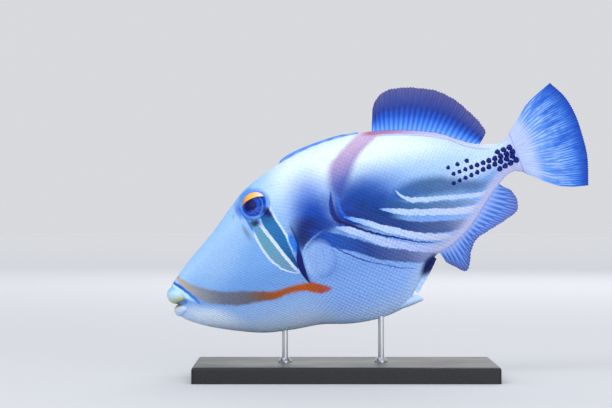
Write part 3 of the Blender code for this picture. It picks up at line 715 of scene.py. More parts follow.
# The markings of a flank, from the lowest layer of paint to the highest
MARKINGS: tuple[Streak | Cloud, ...] = (
    # the cheek and the throat
    Cloud((50, -14), (34, 12), 0x6A9CE0, turn=-14, edge=0.9, strength=0.65),
    Cloud((30, 6), (26, 14), 0x9AC0EE, turn=32, edge=0.9, strength=0.6),
    Cloud((17, -18), (22, 7), 0xD6E8FF, turn=-34, edge=0.8, strength=0.95),
    # blue between the head and the middle of the flank
    Cloud((82, 18), (17, 22), 0x4878D8, turn=-20, edge=0.9, strength=0.85),
    Cloud((82.5, 10), (14.5, 15), 0x0246B0, turn=-14, edge=0.8),
    Cloud((79, 5), (13.5, 9.5), 0x002070, turn=-26, edge=0.7, strength=0.95),
    Cloud((73, 1.5), (6.5, 9), 0x001E6C, edge=0.8, strength=0.95),
    # the dark blue of the middle
    Cloud((112, 11), (30, 18), 0x4276CC, turn=-14, edge=0.9, strength=0.95),
    Cloud((106, 9), (22, 15), 0x0042A0, turn=-16, edge=0.8),
    Cloud((108, 2), (21, 10), 0x003888, turn=-28, edge=0.6),
    Cloud((116, 6), (9, 6), 0x02409C, turn=-10, edge=0.9, strength=0.8),
    Cloud((97, 4), (8, 11), 0x083EA0, turn=-20, edge=0.6),
    Cloud((87, 4.5), (9, 5), 0x023A9A, turn=-30, edge=0.8, strength=0.85),
    # mauve saddle
    Streak(
        ((98, 14, 3), (99, 18, 6.5), (101.6, 23.9, 9), (107, 30.8, 11), (112.6, 34, 12),
         (118.8, 37, 11.5), (126, 41, 9)),
        ((0, 0x12389A), (0.3, 0x424EAC), (0.55, 0x9276BA), (0.8, 0xBC9AC8), (1, 0xC8A6CE)), softness=6,
         strength=0.85, fit=Fit.UPRIGHT,
    ),
    # fills between the pale stripes
    Streak(
        ((118, 3, 3), (130, 4.5, 7), (142, 3, 7.5), (154, -1, 6.5), (166, -5.5, 5), (174, -6, 2)),
        ((0, 0x0E54AA), (0.4, 0x325E96), (0.8, 0x4E72A6), (1, 0x809CCE)), softness=5.5, strength=0.9,
    ),
    Streak(
        ((114, 4, 3), (121, 0.5, 3.5), (130, -3.5, 3), (140, -6.5, 2.6), (150, -9.8, 2.4),
         (160, -12.5, 1.5)),
        ((0, 0x083E96), (0.35, 0x3A68A0), (0.8, 0x6C8CC0), (1, 0x8CA8D6)), softness=1.2,
    ),
    Streak(
        ((96, 5, 3), (105, 0.5, 4.5), (114, -5, 4), (122, -10, 3.6), (130, -14.2, 3.6), (138, -17, 3.8),
         (146, -19.4, 3.4), (153, -20.5, 2)),
        ((0, 0x042C88), (0.45, 0x1E428A), (0.8, 0x546AA4), (1, 0x96A6D6)), softness=1.2,
    ),
    Streak(
        ((77, 3, 3), (82, -0.6, 4.4), (88, -4.6, 4.6), (95, -9.5, 4.6), (102.5, -15.5, 4.8),
         (110, -20.4, 4.4), (117.5, -24.6, 4.2), (125, -28, 4), (132, -30.5, 2.6)),
        ((0, 0x022888), (0.16, 0x1652B6), (0.28, 0x1E50AC), (0.45, 0x224492), (0.75, 0x5668A4),
         (1, 0x96A4DA)), softness=1.4,
    ),
    # pale stripes
    Streak(
        ((124.6, 6.8, 0.8), (126.4, 4, 1.4), (129, 1.2, 1.5), (135, -1.2, 1.5), (142.5, -3.6, 1.5),
         (150, -6, 1.5), (157.5, -8.4, 1.5), (165, -10, 1.4), (172, -9, 0.8)),
        ((0, STRIPE_WHITE), (0.7, STRIPE_WHITE), (1, 0xD6DEF8)), softness=0.6,
    ),
    Streak(
        ((113.5, 2.2, 0.3), (117, 0.4, 1.1), (120, -1.6, 1.7), (127.5, -5.2, 2), (135, -8, 2),
         (142.5, -10.7, 2), (150, -13.5, 2), (157.5, -15.4, 2), (163, -15, 1)),
        ((0, 0x78AAF0), (0.15, STRIPE_WHITE), (1, 0xCED8FA)), softness=0.6,
    ),
    Streak(
        ((96, 4.8, 0.6), (98.5, 3.2, 1.2), (105, -1.8, 2), (110, -5.8, 2.2), (115, -9.7, 2.3),
         (120, -13, 2.2), (125, -16.2, 2.2), (130, -19.2, 2.1), (135, -21.4, 2), (142.5, -23.8, 1.4)),
        ((0, STRIPE_BLUE), (0.1, 0x82B4F6), (0.25, STRIPE_WHITE), (1, 0xCED6F8)), softness=0.6,
    ),
    Streak(
        ((90, 1.4, 0.5), (93, -0.4, 1.7), (96, -2.2, 2.3), (100, -5.1, 2.5), (105, -9.9, 2.6),
         (110, -14, 2.6), (115, -17.2, 2.5), (120, -20.4, 2.4), (125, -23.2, 2.3), (130, -25.6, 2.2),
         (137, -28.4, 1.5)),
        ((0, 0x78AAF0), (0.12, 0xB4CDFA), (0.8, 0xB0C2F8), (1, 0xCED4F8)), softness=0.6,
    ),
    # thin dark lines
    Streak(
        ((94.8, 19.5, 0.3), (93.6, 16, 1), (92.4, 12.5, 1.5), (91.8, 8, 1.7), (92.6, 4.6, 1.6),
         (95.4, 2, 1)),
        ((0, NAVY), (0.4, 0x04247E), (1, 0x0A3EA8)), softness=0.8, fit=Fit.UPRIGHT,
    ),
    Streak(
        ((92.6, 4, 0.5), (94, 3, 1.1), (97.5, 0, 1.1), (102.5, -4.5, 0.9), (107.5, -8.5, 0.8),
         (112.5, -12, 0.8), (117.5, -15, 0.7), (122.5, -18, 0.6), (127.5, -21, 0.5), (132.5, -23.2, 0.4),
         (138, -24.8, 0.2)),
        ((0, NAVY), (0.7, 0x1E2C82), (1, 0x5A68B4)), softness=0.35,
    ),
    Streak(
        ((97.2, 17, 0.4), (96.2, 13, 0.9), (95.8, 9, 1.1), (96.6, 5.6, 1.1), (98.8, 3.6, 0.5)),
        ((0, 0x285AD2), (1, 0x3278EC)), softness=0.9, fit=Fit.UPRIGHT, strength=0.85,
    ),
    Streak(
        ((84, -3.5, 0.3), (86.5, -7.2, 0.7), (90, -11.6, 0.7), (95, -16.6, 0.7), (100, -20.6, 0.6),
         (105, -24, 0.5), (110, -27.2, 0.5), (115, -30, 0.4), (121, -32.6, 0.2)),
        ((0, 0x2238A0), (1, 0x465AB4)), softness=0.35, strength=0.9,
    ),
    # painted light where the clear side fin lies over the skin, a bright arc on its top edge turning to
    # painted shade, and its rear edge's painted shadow
    Cloud((76.8, -9.8), (9.6, 10.4), 0x96BEF6, turn=-36, edge=0.4, strength=0.9),
    Streak(
        ((69.8, -6.4, 0.6), (71.6, -3.4, 1.1), (74.6, -1, 1.3), (79, 0.9, 1.1), (84, 1.9, 0.7),
         (88, 1.6, 0.2)),
        ((0, 0xAACEFA), (0.5, 0x689EEC), (1, 0x3C6ED2)), softness=1.6, strength=0.8,
    ),
    Streak(
        ((81.2, -2.6, 0.1), (80.4, -6.4, 0.3), (79.8, -11.6, 0.35), (81.8, -16.4, 0.3),
         (85.8, -19.8, 0.1)),
        ((0, 0x3C68CE), (1, 0x2250BA)), softness=0.5, strength=0.7, fit=Fit.UPRIGHT,
    ),
    # the band from the snout under the eye's bands
    Streak(
        ((7.5, 6.6, 2.8), (12.5, -1, 4.6), (18, -6.4, 5), (25, -10.4, 4.8), (35, -14.4, 4.5),
         (40, -15.8, 4), (45, -17.2, 3.6), (50, -18.6, 3.1), (57.5, -19, 2.7), (65, -20.6, 3),
         (70, -22.4, 3.7), (74, -24.2, 3), (78, -25.6, 0.4)),
        ((0, 0xBAAE9E), (0.1, 0x9298A4), (0.25, 0x6C748C), (0.42, 0x686A78), (0.52, 0x825842),
         (0.61, 0xA45620), (0.84, 0xBC5A16), (0.93, 0xAE5038), (1, 0xB46078)), softness=2,
    ),
    # the blue line over the upper lip, which also shows under the pale strip as painted shadow, and the
    # pale strip, a painted highlight on the fold there
    Streak(
        ((4.8, 5.4, 1.4), (7.2, 2.2, 2.4), (9.2, -1, 3), (11.2, -4.4, 2.9), (14.2, -8.8, 0.8)),
        ((0, 0x1E64DC), (0.3, 0x1E5CCE), (0.7, 0x3C78E2), (1, 0x5A78EC)), softness=1.2,
    ),
    Streak(
        ((4.4, 4.2, 1.2), (6.4, 1.2, 2), (8.4, -2, 2.4), (10.4, -5.2, 2), (13, -8.2, 0.5)),
        ((0, 0xBEEEFF), (0.6, 0xB6E6FF), (1, 0x78AAFA)), softness=1.1,
    ),
    # bands from the eye down to the gill slit
    Streak(
        ((51.2, 27, 0.6), (52.6, 20, 1.8), (54.6, 12, 3), (56.7, 4, 3.7), (59, -4, 3), (61.6, -9.5, 1.8),
         (64.6, -13.4, 0.4)),
        ((0, 0x6E96BE), (0.5, 0x609EB8), (1, 0x5C92D0)), softness=0.5, fit=Fit.UPRIGHT,
    ),
    Streak(
        ((60.5, 24, 2.2), (60.6, 17.5, 3.3), (62.2, 10, 3.6), (63.4, 3, 2.6), (64.6, -4, 1.8),
         (66, -10.5, 1)),
        ((0, 0x0E3E7C), (0.35, 0x1468A8), (0.7, 0x2274B4), (1, 0x001A62)), softness=0.6, fit=Fit.UPRIGHT,
    ),
    Streak(
        ((49.6, 27.5, 0.9), (50.8, 22, 0.9), (51.6, 17.5, 0.8), (51.9, 13, 0.8), (52.7, 6, 0.8),
         (54.5, -1, 0.8), (57.2, -6.2, 0.8), (60.5, -10, 0.8), (65, -13.2, 0.5)),
        ((0, 0xC4DAFA), (0.62, 0xCEE0FC), (0.72, 0x4680E2), (1, 0x4682E6)), softness=0.4, fit=Fit.UPRIGHT,
    ),
    Streak(
        ((55.4, 19, 1), (57, 14, 1.1), (59.2, 7, 1.1), (61.2, 0, 1.1), (63.6, -7.5, 1),
         (65.8, -13.6, 0.8)),
        ((0, 0x96BEF5), (0.2, 0xD6E4FC), (0.85, 0xCEDEFC), (1, 0x3C78EB)), softness=0.4, fit=Fit.UPRIGHT,
    ),
    Streak(
        ((62.6, 31, 0.7), (63.4, 25, 0.7), (64.4, 17, 0.7), (65.8, 10, 0.8), (66.6, 4.5, 0.8),
         (66.6, -1, 0.3)),
        ((0, 0xC4DCFA), (0.7, 0xCEE2FA), (1, 0x82B0EC)), softness=0.4, fit=Fit.UPRIGHT,
    ),
    Cloud((54.2, 18), (3.3, 2.4), 0x1E3242, turn=-14, edge=0.7, strength=0.95),
    Cloud((48.6, 15), (2, 7), 0x60708C, turn=8, edge=0.9, strength=0.6),
    # painted highlight: the rear edge of the gill cover, lit blue
    Cloud((68.2, 1.6), (2.2, 6.4), 0x2878E8, turn=4, edge=0.4),
    # the skin round the eye
    Cloud((53.6, 33.9), (8, 3.6), 0x6CB2EE, turn=30, edge=0.8, strength=0.8),
    Cloud((48.8, 26.5), (2.6, 6.4), 0x3C74E1, edge=0.8, strength=0.75),
    Cloud((57.2, 26.8), (8.7, 8.7), 0x3A7ADE, edge=0.22, strength=0.75),
    Cloud((61.6, 20.6), (2.6, 4.4), 0x00165C, turn=30, edge=0.7, strength=0.9),
    # pale ground under the thorns
    Cloud((171, 3.6), (22, 7), 0xCEE2F6, edge=0.8, strength=0.6),
    # the vent
    Cloud((127.6, -33.4), (9.5, 4.2), 0x001660, turn=33, edge=0.6),
)


@dataclass(frozen=True)
class SkinFinish:
    """The painted skin: a pale back and a blue flank with light and shade painted in, and every marking,
    at one brightness.
    """

    name: str
    shade: float = 1.0  # how light the paint is, 1 as it stands; under 1 it is painted shade
    grain: float = 0.00012  # depth of the fine grain, in metres
    roughness: Pair = (0.4, 0.56)
    unsteady: Pair = (1.3, 1.6)  # how far, in millimetres, edges waver closely and widely
    # colours up the height of body and head, with light from above painted in: a highlight on the back,
    # shade on the lower flank
    body: Stops = (
        (0, 0xBAD6FF), (0.12, 0x8EB8FC), (0.32, 0x78A4EA), (0.52, 0x82AEEA),
        (0.7, 0xACCEF4), (0.84, PALE_BACK_AND_HIGHLIGHT), (0.95, PALE_BACK_AND_HIGHLIGHT), (1, 0xCEE2FA),
    )
    head: Stops = (
        (0, 0xD2E6FF), (0.16, 0xA0C4F8), (0.4, 0x70A2E6), (0.64, 0x7AACE8),
        (0.88, 0xA2CAF6), (1, 0x96C4F6),
    )
    rim: Stops = (
        (0, 0xB07096), (0.2, 0xB080B0), (0.45, 0xBCB6E4), (1, 0xCEDAF6),
    )

    def make(self) -> Material:
        """Builds the material."""
        paint = Paint(self.name)
        place, x, z = paint.fish_place()
        # an unsteady hand: edges follow the scales and waver a little
        close, wide = self.unsteady
        sway = (paint.noise(place, 0.55, 2) - 0.5) * close
        wobble = (paint.noise(place, 0.09, 2) - 0.5) * wide
        x_mark, z_mark = x + sway * 0.35, z + (sway + wobble)
        top, foot = paint.outline(x, FLESH.back), paint.outline(x, FLESH.belly)
        height = paint.scale(z, foot, top)
        head, body = paint.ramp(height, self.head), paint.ramp(height, self.body)
        colour = paint.mix(paint.spread(x, 58, 82), head, body)
        # the tail stem is pale and its root lilac
        pale = paint.spread(x, 136, 168) * paint.spread(height, 0.25, 0.6)
        colour = paint.mix(pale * 0.85, colour, linear(0xB8D6F0))
        for marking in MARKINGS:
            colour = marking.lay(paint, colour, x_mark, z_mark)
        colour = self.rims(paint, colour, x, top - z, z - foot)
        colour = SLIT_SHADE.lay(paint, colour, x, z)
        # mottling: scale rows catch the light unevenly
        mottle = paint.scale(paint.noise(place, 0.8, 4, 0.65), 0.25, 0.75, (0.9, 1.06))
        paint.set(
            Base_Color=paint.tinted(colour, mottle * self.shade), Specular_IOR_Level=0.2,
            Roughness=paint.scale(paint.noise(place, 1.6), 0.3, 0.7, self.roughness),
            Coat_Weight=0.04, Coat_Roughness=0.3,
        )
        paint.bump(paint.noise(place, 3.2, 4, 0.6), self.grain)
        return paint.material

    def rims(
        self, paint: Paint, under: Signal, x: Signal, below_back: Signal, above_belly: Signal
    ) -> Signal:
        """The lilac rims of scales under the two long fins and at the root of the tail fin.

        Args:
            paint: the material.
            under: the colour beneath.
            x: place along the fish.
            below_back: distance down from the back's outline.
            above_belly: distance up from the belly's outline.

        Returns:
            The colour with the rims on it.
        """
        upper = paint.spread(below_back, 2.9, 1.9) * paint.spread(x, 118, 124) * paint.spread(x, 182, 176)
        under = paint.mix(upper, under, paint.ramp(paint.scale(x, 122, 176), self.rim))
        # painted shade: a darker line in the crease at the foot of the raised rim under the back fin
        edge = paint.spread(below_back, 2.4, 2.8) * paint.spread(below_back, 3.6, 3.1)
        edge = edge * paint.spread(x, 122, 128) * paint.spread(x, 178, 174)
        under = paint.mix(edge * 0.5, under, linear(0x968CC8))
        lower = paint.spread(above_belly, 7.5, 2.5) * paint.spread(x, 130, 142)
        under = paint.mix(lower * 0.9, under, linear(LILAC))
        return paint.mix(paint.spread(x, 181, 189) * 0.9, under, linear(0xBAC4F2))


@dataclass(frozen=True)
class FinFinish:
    """A fin's web and rays, coloured from root to edge by its ray map."""

    name: str
    rays: int
    web: Stops
    ray: Stops
    fork: Pair = (0.5, 0.7)  # share of the fin's height over which each ray forks
    ray_width: float = 0.42
    opacity: float = 1.0
    mottle: float = 0.12
    wander: float = 0.0  # how far, in gaps between rays, their paint strays
    patchy: float = 0.0  # how far the paint of a ray may fade
    joints: float = 150.0  # how closely the rays are jointed

    def make(self) -> Material:
        """Builds the material."""
        paint = Paint(self.name)
        _, u, v = paint.map_place("ray_map")
        if self.wander:
            stray = paint.noise(paint.flat(u * (self.rays * 0.7), v * 1.3), 1, 3, 0.6) - 0.5
            u = u + stray * (2 * self.wander / self.rays)
        single = self.near_ray(paint, u, 1, self.ray_width)
        double = self.near_ray(paint, u, 2, self.ray_width * 1.2)
        on_ray = paint.node("Mix", {0: paint.spread(v, *self.fork), 2: single, 3: double})
        painted = on_ray
        if self.patchy:
            blot = paint.noise(paint.flat(u * (self.rays * 0.55), v * 2.2), 1, 3, 0.7)
            painted = on_ray * paint.spread(blot, 0.36, 0.62, (1 - self.patchy, 1))
        grain = paint.noise(paint.flat(u * (self.rays * 2.2), v * 3), 1, 4, 0.6)
        edge = v + (grain - 0.5) * 0.22
        colour = paint.mix(painted, paint.ramp(edge, self.web), paint.ramp(edge, self.ray))
        shade = paint.scale(grain, 0.2, 0.8, (1 - self.mottle, 1 + self.mottle))
        paint.set(
            Base_Color=paint.tinted(colour, shade), Specular_IOR_Level=0.2, Alpha=self.opacity,
            Roughness=paint.scale(grain, 0.2, 0.8, (0.36, 0.5)),
        )
        joints = paint.maths("SINE", v * self.joints)
        paint.bump(on_ray + joints * on_ray * 0.15, 0.00008)
        return paint.material

    def near_ray(self, paint: Paint, u: Signal, times: int, width: float) -> Signal:
        """1 on a ray and 0 in the web, with times as many rays."""
        place = u * ((self.rays - 1) * times) + 0.5
        return paint.spread(abs(paint.maths("FRACT", place) - 0.5), width, 0.04)


EYE_MAP = 16.0  # millimetres across the UV map iris


@dataclass(frozen=True)
class EyeFinish:
    """A dark eye with an amber lid of colour over it, by the UV map iris, which is centred on the eye."""

    name: str = "glassy_eye"
    pupil: Pair = (-1.6, -0.8)
    iris: Stops = (
        (0, 0x000A54), (0.14, 0x001670), (0.26, 0x004ABE), (0.46, 0x003EB0),
        (0.6, 0x001A78), (0.74, 0x2870DC), (0.86, 0x002A8C), (1, 0x0A46B4),
    )
    amber: Stops = (
        (0, 0xD6803C), (0.35, 0xF0B046), (0.65, 0xF6BE60), (1, 0xF6D6CE),
    )

    def make(self) -> Material:
        """Builds the material."""
        paint = Paint(self.name)
        place, u, v = paint.map_place("iris")
        tailwards, upwards = (u - 0.5) * EYE_MAP, (v - 0.5) * EYE_MAP
        streaks = paint.noise(place, 26, 4, 0.6)
        from_pupil = paint.distance(tailwards - self.pupil[0], upwards - self.pupil[1])
        colour = paint.ramp(paint.scale(from_pupil + (streaks - 0.5) * 0.7, 2.4, 7.4), self.iris)
        arcs = paint.spread(upwards, -2.6, -3.6) * paint.spread(streaks, 0.4, 0.65)
        colour = paint.mix(arcs * 0.4, colour, linear(0x6E88DC))
        lid_edge = upwards + tailwards**2 * 0.035 + streaks * 0.5
        # painted shadow: a dark band just under the amber lid
        colour = paint.mix(paint.spread(lid_edge, 1.5, 2.5) * 0.8, colour, linear(0x000828))
        amber = paint.ramp(paint.scale(tailwards, -5, 5), self.amber)
        amber = paint.mix(paint.spread(streaks, 0.5, 0.8), amber, linear(0xCE783C))
        lid = paint.spread(lid_edge, 2.6, 3.1)
        colour = paint.mix(lid, colour, amber)
        white = paint.spread(paint.distance(tailwards, upwards), 6.2, 6.7)
        paint.set(
            Base_Color=paint.mix(white, colour, linear(0x061E82)), Specular_IOR_Level=0.12,
            Roughness=paint.spread(lid, 0, 1, (0.4, 0.45)), Coat_Weight=0.05, Coat_Roughness=0.05,
        )
        return paint.material


@dataclass(frozen=True)
class LipFinish:
    """A lip coloured from its foot to its top, and yellowed, with painted shade in the crease, where the
    two lips meet.
    """

    name: str
    foot: float
    top: float
    stops: Stops
    cleft: float = -5.8  # level at which the lips meet

    def make(self) -> Material:
        """Builds the material."""
        paint = Paint(self.name)
        place, _, z = paint.fish_place()
        speckle = paint.noise(place, 2.2, 4, 0.6)
        colour = paint.ramp(paint.scale(z + speckle * 0.8, self.foot, self.top), self.stops)
        # the crease where the lips meet: their yellow and painted shade, in one dark olive mix
        near = paint.spread(abs(z - self.cleft), 1.5, 0.3)
        colour = paint.mix(near * 0.7, colour, linear(0x685C3E))
        paint.set(
            Base_Color=paint.tinted(colour, paint.scale(speckle, 0.25, 0.75, (0.93, 1.05))),
            Roughness=paint.scale(speckle, 0.3, 0.7, (0.34, 0.48)), Coat_Weight=0.3, Coat_Roughness=0.2,
        )
        paint.bump(speckle, 0.0001)
        return paint.material


@dataclass(frozen=True)
class ThornFinish:
    """Blue-black horn."""

    name: str = "thorn_horn"

    def make(self) -> Material:
        """Builds the material."""
        paint = Paint(self.name)
        worn = paint.noise(paint.fish_place()[0], 1.6)
        paint.set(
            Base_Color=paint.ramp(worn, ((0.3, 0x020E5C), (0.7, 0x0C2286))),
            Roughness=paint.scale(worn, 0.3, 0.7, (0.32, 0.46)), Specular_IOR_Level=0.2,
        )
        return paint.material


@dataclass(frozen=True)
class LacquerFinish:
    """Black satin lacquer with fine dust."""

    name: str = "stand_lacquer"

    def make(self) -> Material:
        """Builds the material."""
        paint = Paint(self.name)
        place = paint.object_place()
        dust = paint.noise(place, 900, 3, 0.7)
        paint.set(
            Base_Color=paint.ramp(dust, ((0.35, 0x141518), (0.75, 0x202126))),
            Roughness=paint.scale(paint.noise(place, 30), 0.3, 0.7, (0.32, 0.46)),
            Coat_Weight=0.12, Coat_Roughness=0.25, Specular_IOR_Level=0.3,
        )
        paint.bump(dust, 0.00003)
        return paint.material


@dataclass(frozen=True)
class SteelFinish:
    """Drawn stainless steel, with fine lines down the rod."""

    name: str = "stand_drawn_steel"
    lines: tuple[float, float, float] = (9000, 9000, 60)  # for each metre, across the rod and down it

    def make(self) -> Material:
        """Builds the material."""
        paint = Paint(self.name)
        place = paint.node("Mapping", {"Vector": paint.object_place(), "Scale": self.lines})
        drawn = paint.noise(place, 1, 2)
        paint.set(
            Base_Color=paint.ramp(drawn, ((0.3, 0xB0B2B6), (0.7, 0xCCCED2))),
            Roughness=paint.scale(drawn, 0.3, 0.7, (0.2, 0.36)), Metallic=1,
        )
        return paint.material


# The pieces of the fish


@dataclass(frozen=True)
class Eye:
    """An eyeball in its socket: where it sits and how it is cut."""

    x: float = 57.2
    z: float = 26.8
    radius: float = 7.4
    depth: float = 4.4
    sunk: float = 2.0
    opening: float = 6.7
    rim: Pair = (1.0, 0.7)  # half width and height of the fold of skin round it
    lens: tuple[Pair, ...] = (
        (0, 4.5), (1.2, 4.44), (2.4, 4.24), (3.3, 3.98), (3.75, 3.78), (4.05, 3.62), (4.6, 3.56),
    )
    iris: tuple[float, ...] = (5.2, 5.8, 6.4, 6.9, 7.2)
    back: tuple[Pair, ...] = ((6.4, -1.9), (4.4, -3.3), (0, -4))
    lens_shift: Pair = (1.5, 0.7)  # how far the lens sits forwards and down in the eye

    def frame(self, side: Side) -> tuple[Vector, Vector, Vector, Vector]:
        """Its centre, and its directions outwards, tailwards and upwards, in the fish's frame."""
        out = FLESH.flank_normal(self.x, self.z, side)
        centre = FLESH.on_flank(self.x, self.z, side) - out * self.sunk
        tailwards = (Vector((1, 0, 0)) - out * out.x).normalized()
        upwards = out.cross(tailwards)
        return centre, out, tailwards, (upwards if upwards.z > 0 else -upwards)

    def off_axis(self, points: Array, side: Side) -> Array:
        """How far points are from the eye's axis."""
        centre, out, _, _ = self.frame(side)
        away = points - np.array(centre)
        ahead = away @ np.array(out)
        return np.sqrt(np.maximum(np.sum(away * away, axis=-1) - ahead**2, 0))

    def build(self, side: Side, glassy: Material) -> None:
        """The eyeball: a bulging lens within a shallow iris."""
        ball = [(r, self.depth * math.sqrt(1 - (r / self.radius) ** 2)) for r in self.iris]
        profile = [*self.lens, *ball, (self.radius, 0), *self.back]
        mesh = mesh_of(f"eye_{side.word}", lathe_bmesh(profile, 56, closed=False))
        flat = Bench.corners(mesh)
        inner = 1 - ease(np.hypot(flat[:, 0], flat[:, 1]), 3, 6.4)
        a, b = (flat[:, k] - self.lens_shift[k] * inner for k in range(2))
        centre, out, tailwards, upwards = (np.array(v) for v in self.frame(side))
        Bench.put(mesh, centre + a[:, None] * tailwards + b[:, None] * upwards + flat[:, 2:] * out)
        Bench.unwrap(mesh, "iris", np.stack([a, b], axis=-1) / EYE_MAP + 0.5)
        Bench.turn_out(mesh)
        eye = Bench.piece_of(f"glass_eye_{side.word}", mesh, glassy, "eye")
        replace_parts(eye, f"eye_{side.word}")

    def build_rim(self, side: Side, skin: Material) -> None:
        """The soft fold of skin that holds the eyeball."""
        half_width, height = self.rim
        bead = ((math.cos(turn), math.sin(turn)) for turn in (math.pi * k / 6 for k in range(12)))
        ring = [(self.opening + (a + 0.3) * half_width, b * height - 0.1) for a, b in bead]
        bm = lathe_bmesh(ring, 72, closed=True)
        centre, out, tailwards, upwards = self.frame(side)
        for v in bm.verts:
            a, b, h = v.co
            droop = 0.25 * max(-b / self.opening, 0)
            v.co = centre + tailwards * a + upwards * b + out * (h + self.sunk - droop)
        bm.transform(POSE.matrix())
        Bench.piece(f"orbital_fold_{side.word}", bm, skin, "skin")


EYE = Eye()


@dataclass(frozen=True)
class Skin:
    """The one skin over head, body and tail stem, which lies under the scales."""

    sides: int = 216
    coat: float = 0.3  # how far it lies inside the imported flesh
    steps: Line = (
        (0, 0.22), (10, 0.34), (28, 0.7), (42, 0.5), (48, 0.42), (72, 0.42), (77, 0.75), (188, 0.8),
    )
    slit_lip: float = 0.4
    slit_depth: float = 1.5
    socket: Pair = (6.3, 6.9)  # radii at its floor and its edge
    socket_depth: float = 3.4
    brow: float = 0.35
    tear_line: Line = ((49.4, 30.0), (46.2, 27.6), (43.4, 25.0))
    tear_depth: float = 0.4
    nostrils: Line = ((46.8, 27.0), (44.6, 25.2))
    nostril_rim: float = 0.3
    groove: Pair = (75.5, 118.5)
    groove_half_width: float = 1.9
    groove_depth: float = 1.6
    mouth: Pair = (-5.9, 1.4)  # level and half height of the mouth's cleft
    mouth_depth: float = 3.2

    def stations(self) -> Array:
        """Places of its rings, closer where there is more to show."""
        places = [0.03]
        end = FLESH.tail_end - 0.3
        while places[-1] < end:
            places.append(places[-1] + float(smooth_at(self.steps, places[-1])))
        places[-1] = end
        return np.array(places)

    def under(self, x: Array) -> Array:
        """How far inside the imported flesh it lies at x."""
        return self.coat * ease(x, 2, 12)

    def relief(self, points: Array, side: Side) -> Array:
        """How far the surface stands out, past the plain flesh, at points of one flank.

        Args:
            points: places on the flesh, one a row.
            side: the flank that they are on.

        Returns:
            Millimetres outwards for each point.
        """
        x, y, z = points.T
        # the gill slit, with the cover's edge standing over it
        away, behind, share = from_line(GILL_SLIT, x, z)
        half = along(GILL_SLIT, share)[:, 2]
        inside = 1 - ease(away, half * 0.7, half + 0.35)
        lip = np.where(behind < 0, bell(np.maximum(away - half, 0), 1.3), 0)
        height = self.slit_lip * lip * (1 - inside) - self.slit_depth * inside
        # the eye's socket and the brow
        off = EYE.off_axis(points, side)
        height -= self.socket_depth * (1 - ease(off, *self.socket))
        height += self.brow * bell(off - 8, 1.6)
        # the groove and the two nostrils ahead of the eye
        fold, _, _ = from_line(self.tear_line, x, z)
        height -= self.tear_depth * bell(fold, 1.5) * ease(off, 7, 9)
        for nostril_x, nostril_z in self.nostrils:
            pit = np.hypot(x - nostril_x, z - nostril_z)
            height += self.nostril_rim * bell(pit - 0.95, 0.35) - bell(pit, 0.6)
        # the groove of the folded fin
        upper = z > FLESH.section(x)[2]
        start, end = self.groove
        valley = 1 - ease(np.abs(y), self.groove_half_width - 0.5, self.groove_half_width + 0.3)
        length = ease(x, start - 1, start + 1) * (1 - ease(x, end - 1, end + 1))
        return height - self.groove_depth * valley * length * upper

    def build(self, finish: Material) -> None:
        """The skin as one closed mesh."""
        stations = self.stations()
        mesh = mesh_of("skin", tube_bmesh(self.sides, len(stations)))
        flat = Bench.corners(mesh)
        x = stations[np.rint((flat[:, 2] + 0.5) * (len(stations) - 1)).astype(int)]
        angle = np.arctan2(flat[:, 1], flat[:, 0])
        points = FLESH.point(x, angle)
        left, right = self.relief(points, Side.LEFT), self.relief(points, Side.RIGHT)
        rise = np.where(points[:, 1] < 0, left, right) - self.under(x)
        points = points + FLESH.normal(x, angle) * rise[:, None]
        # the mouth's cleft draws in between the lips
        level, half = self.mouth
        cleft = bell(points[:, 2] - level, half) * (1 - ease(x, 4, 9))
        points[:, 0] += self.mouth_depth * cleft
        points[:, 1] *= 1 - 0.3 * cleft
        Bench.put(mesh, points)
        Bench.turn_out(mesh)
        skin = Bench.piece_of("skin", mesh, finish, "skin")
        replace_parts(skin, "head", "torso", "tail_stem")


SKIN = Skin()


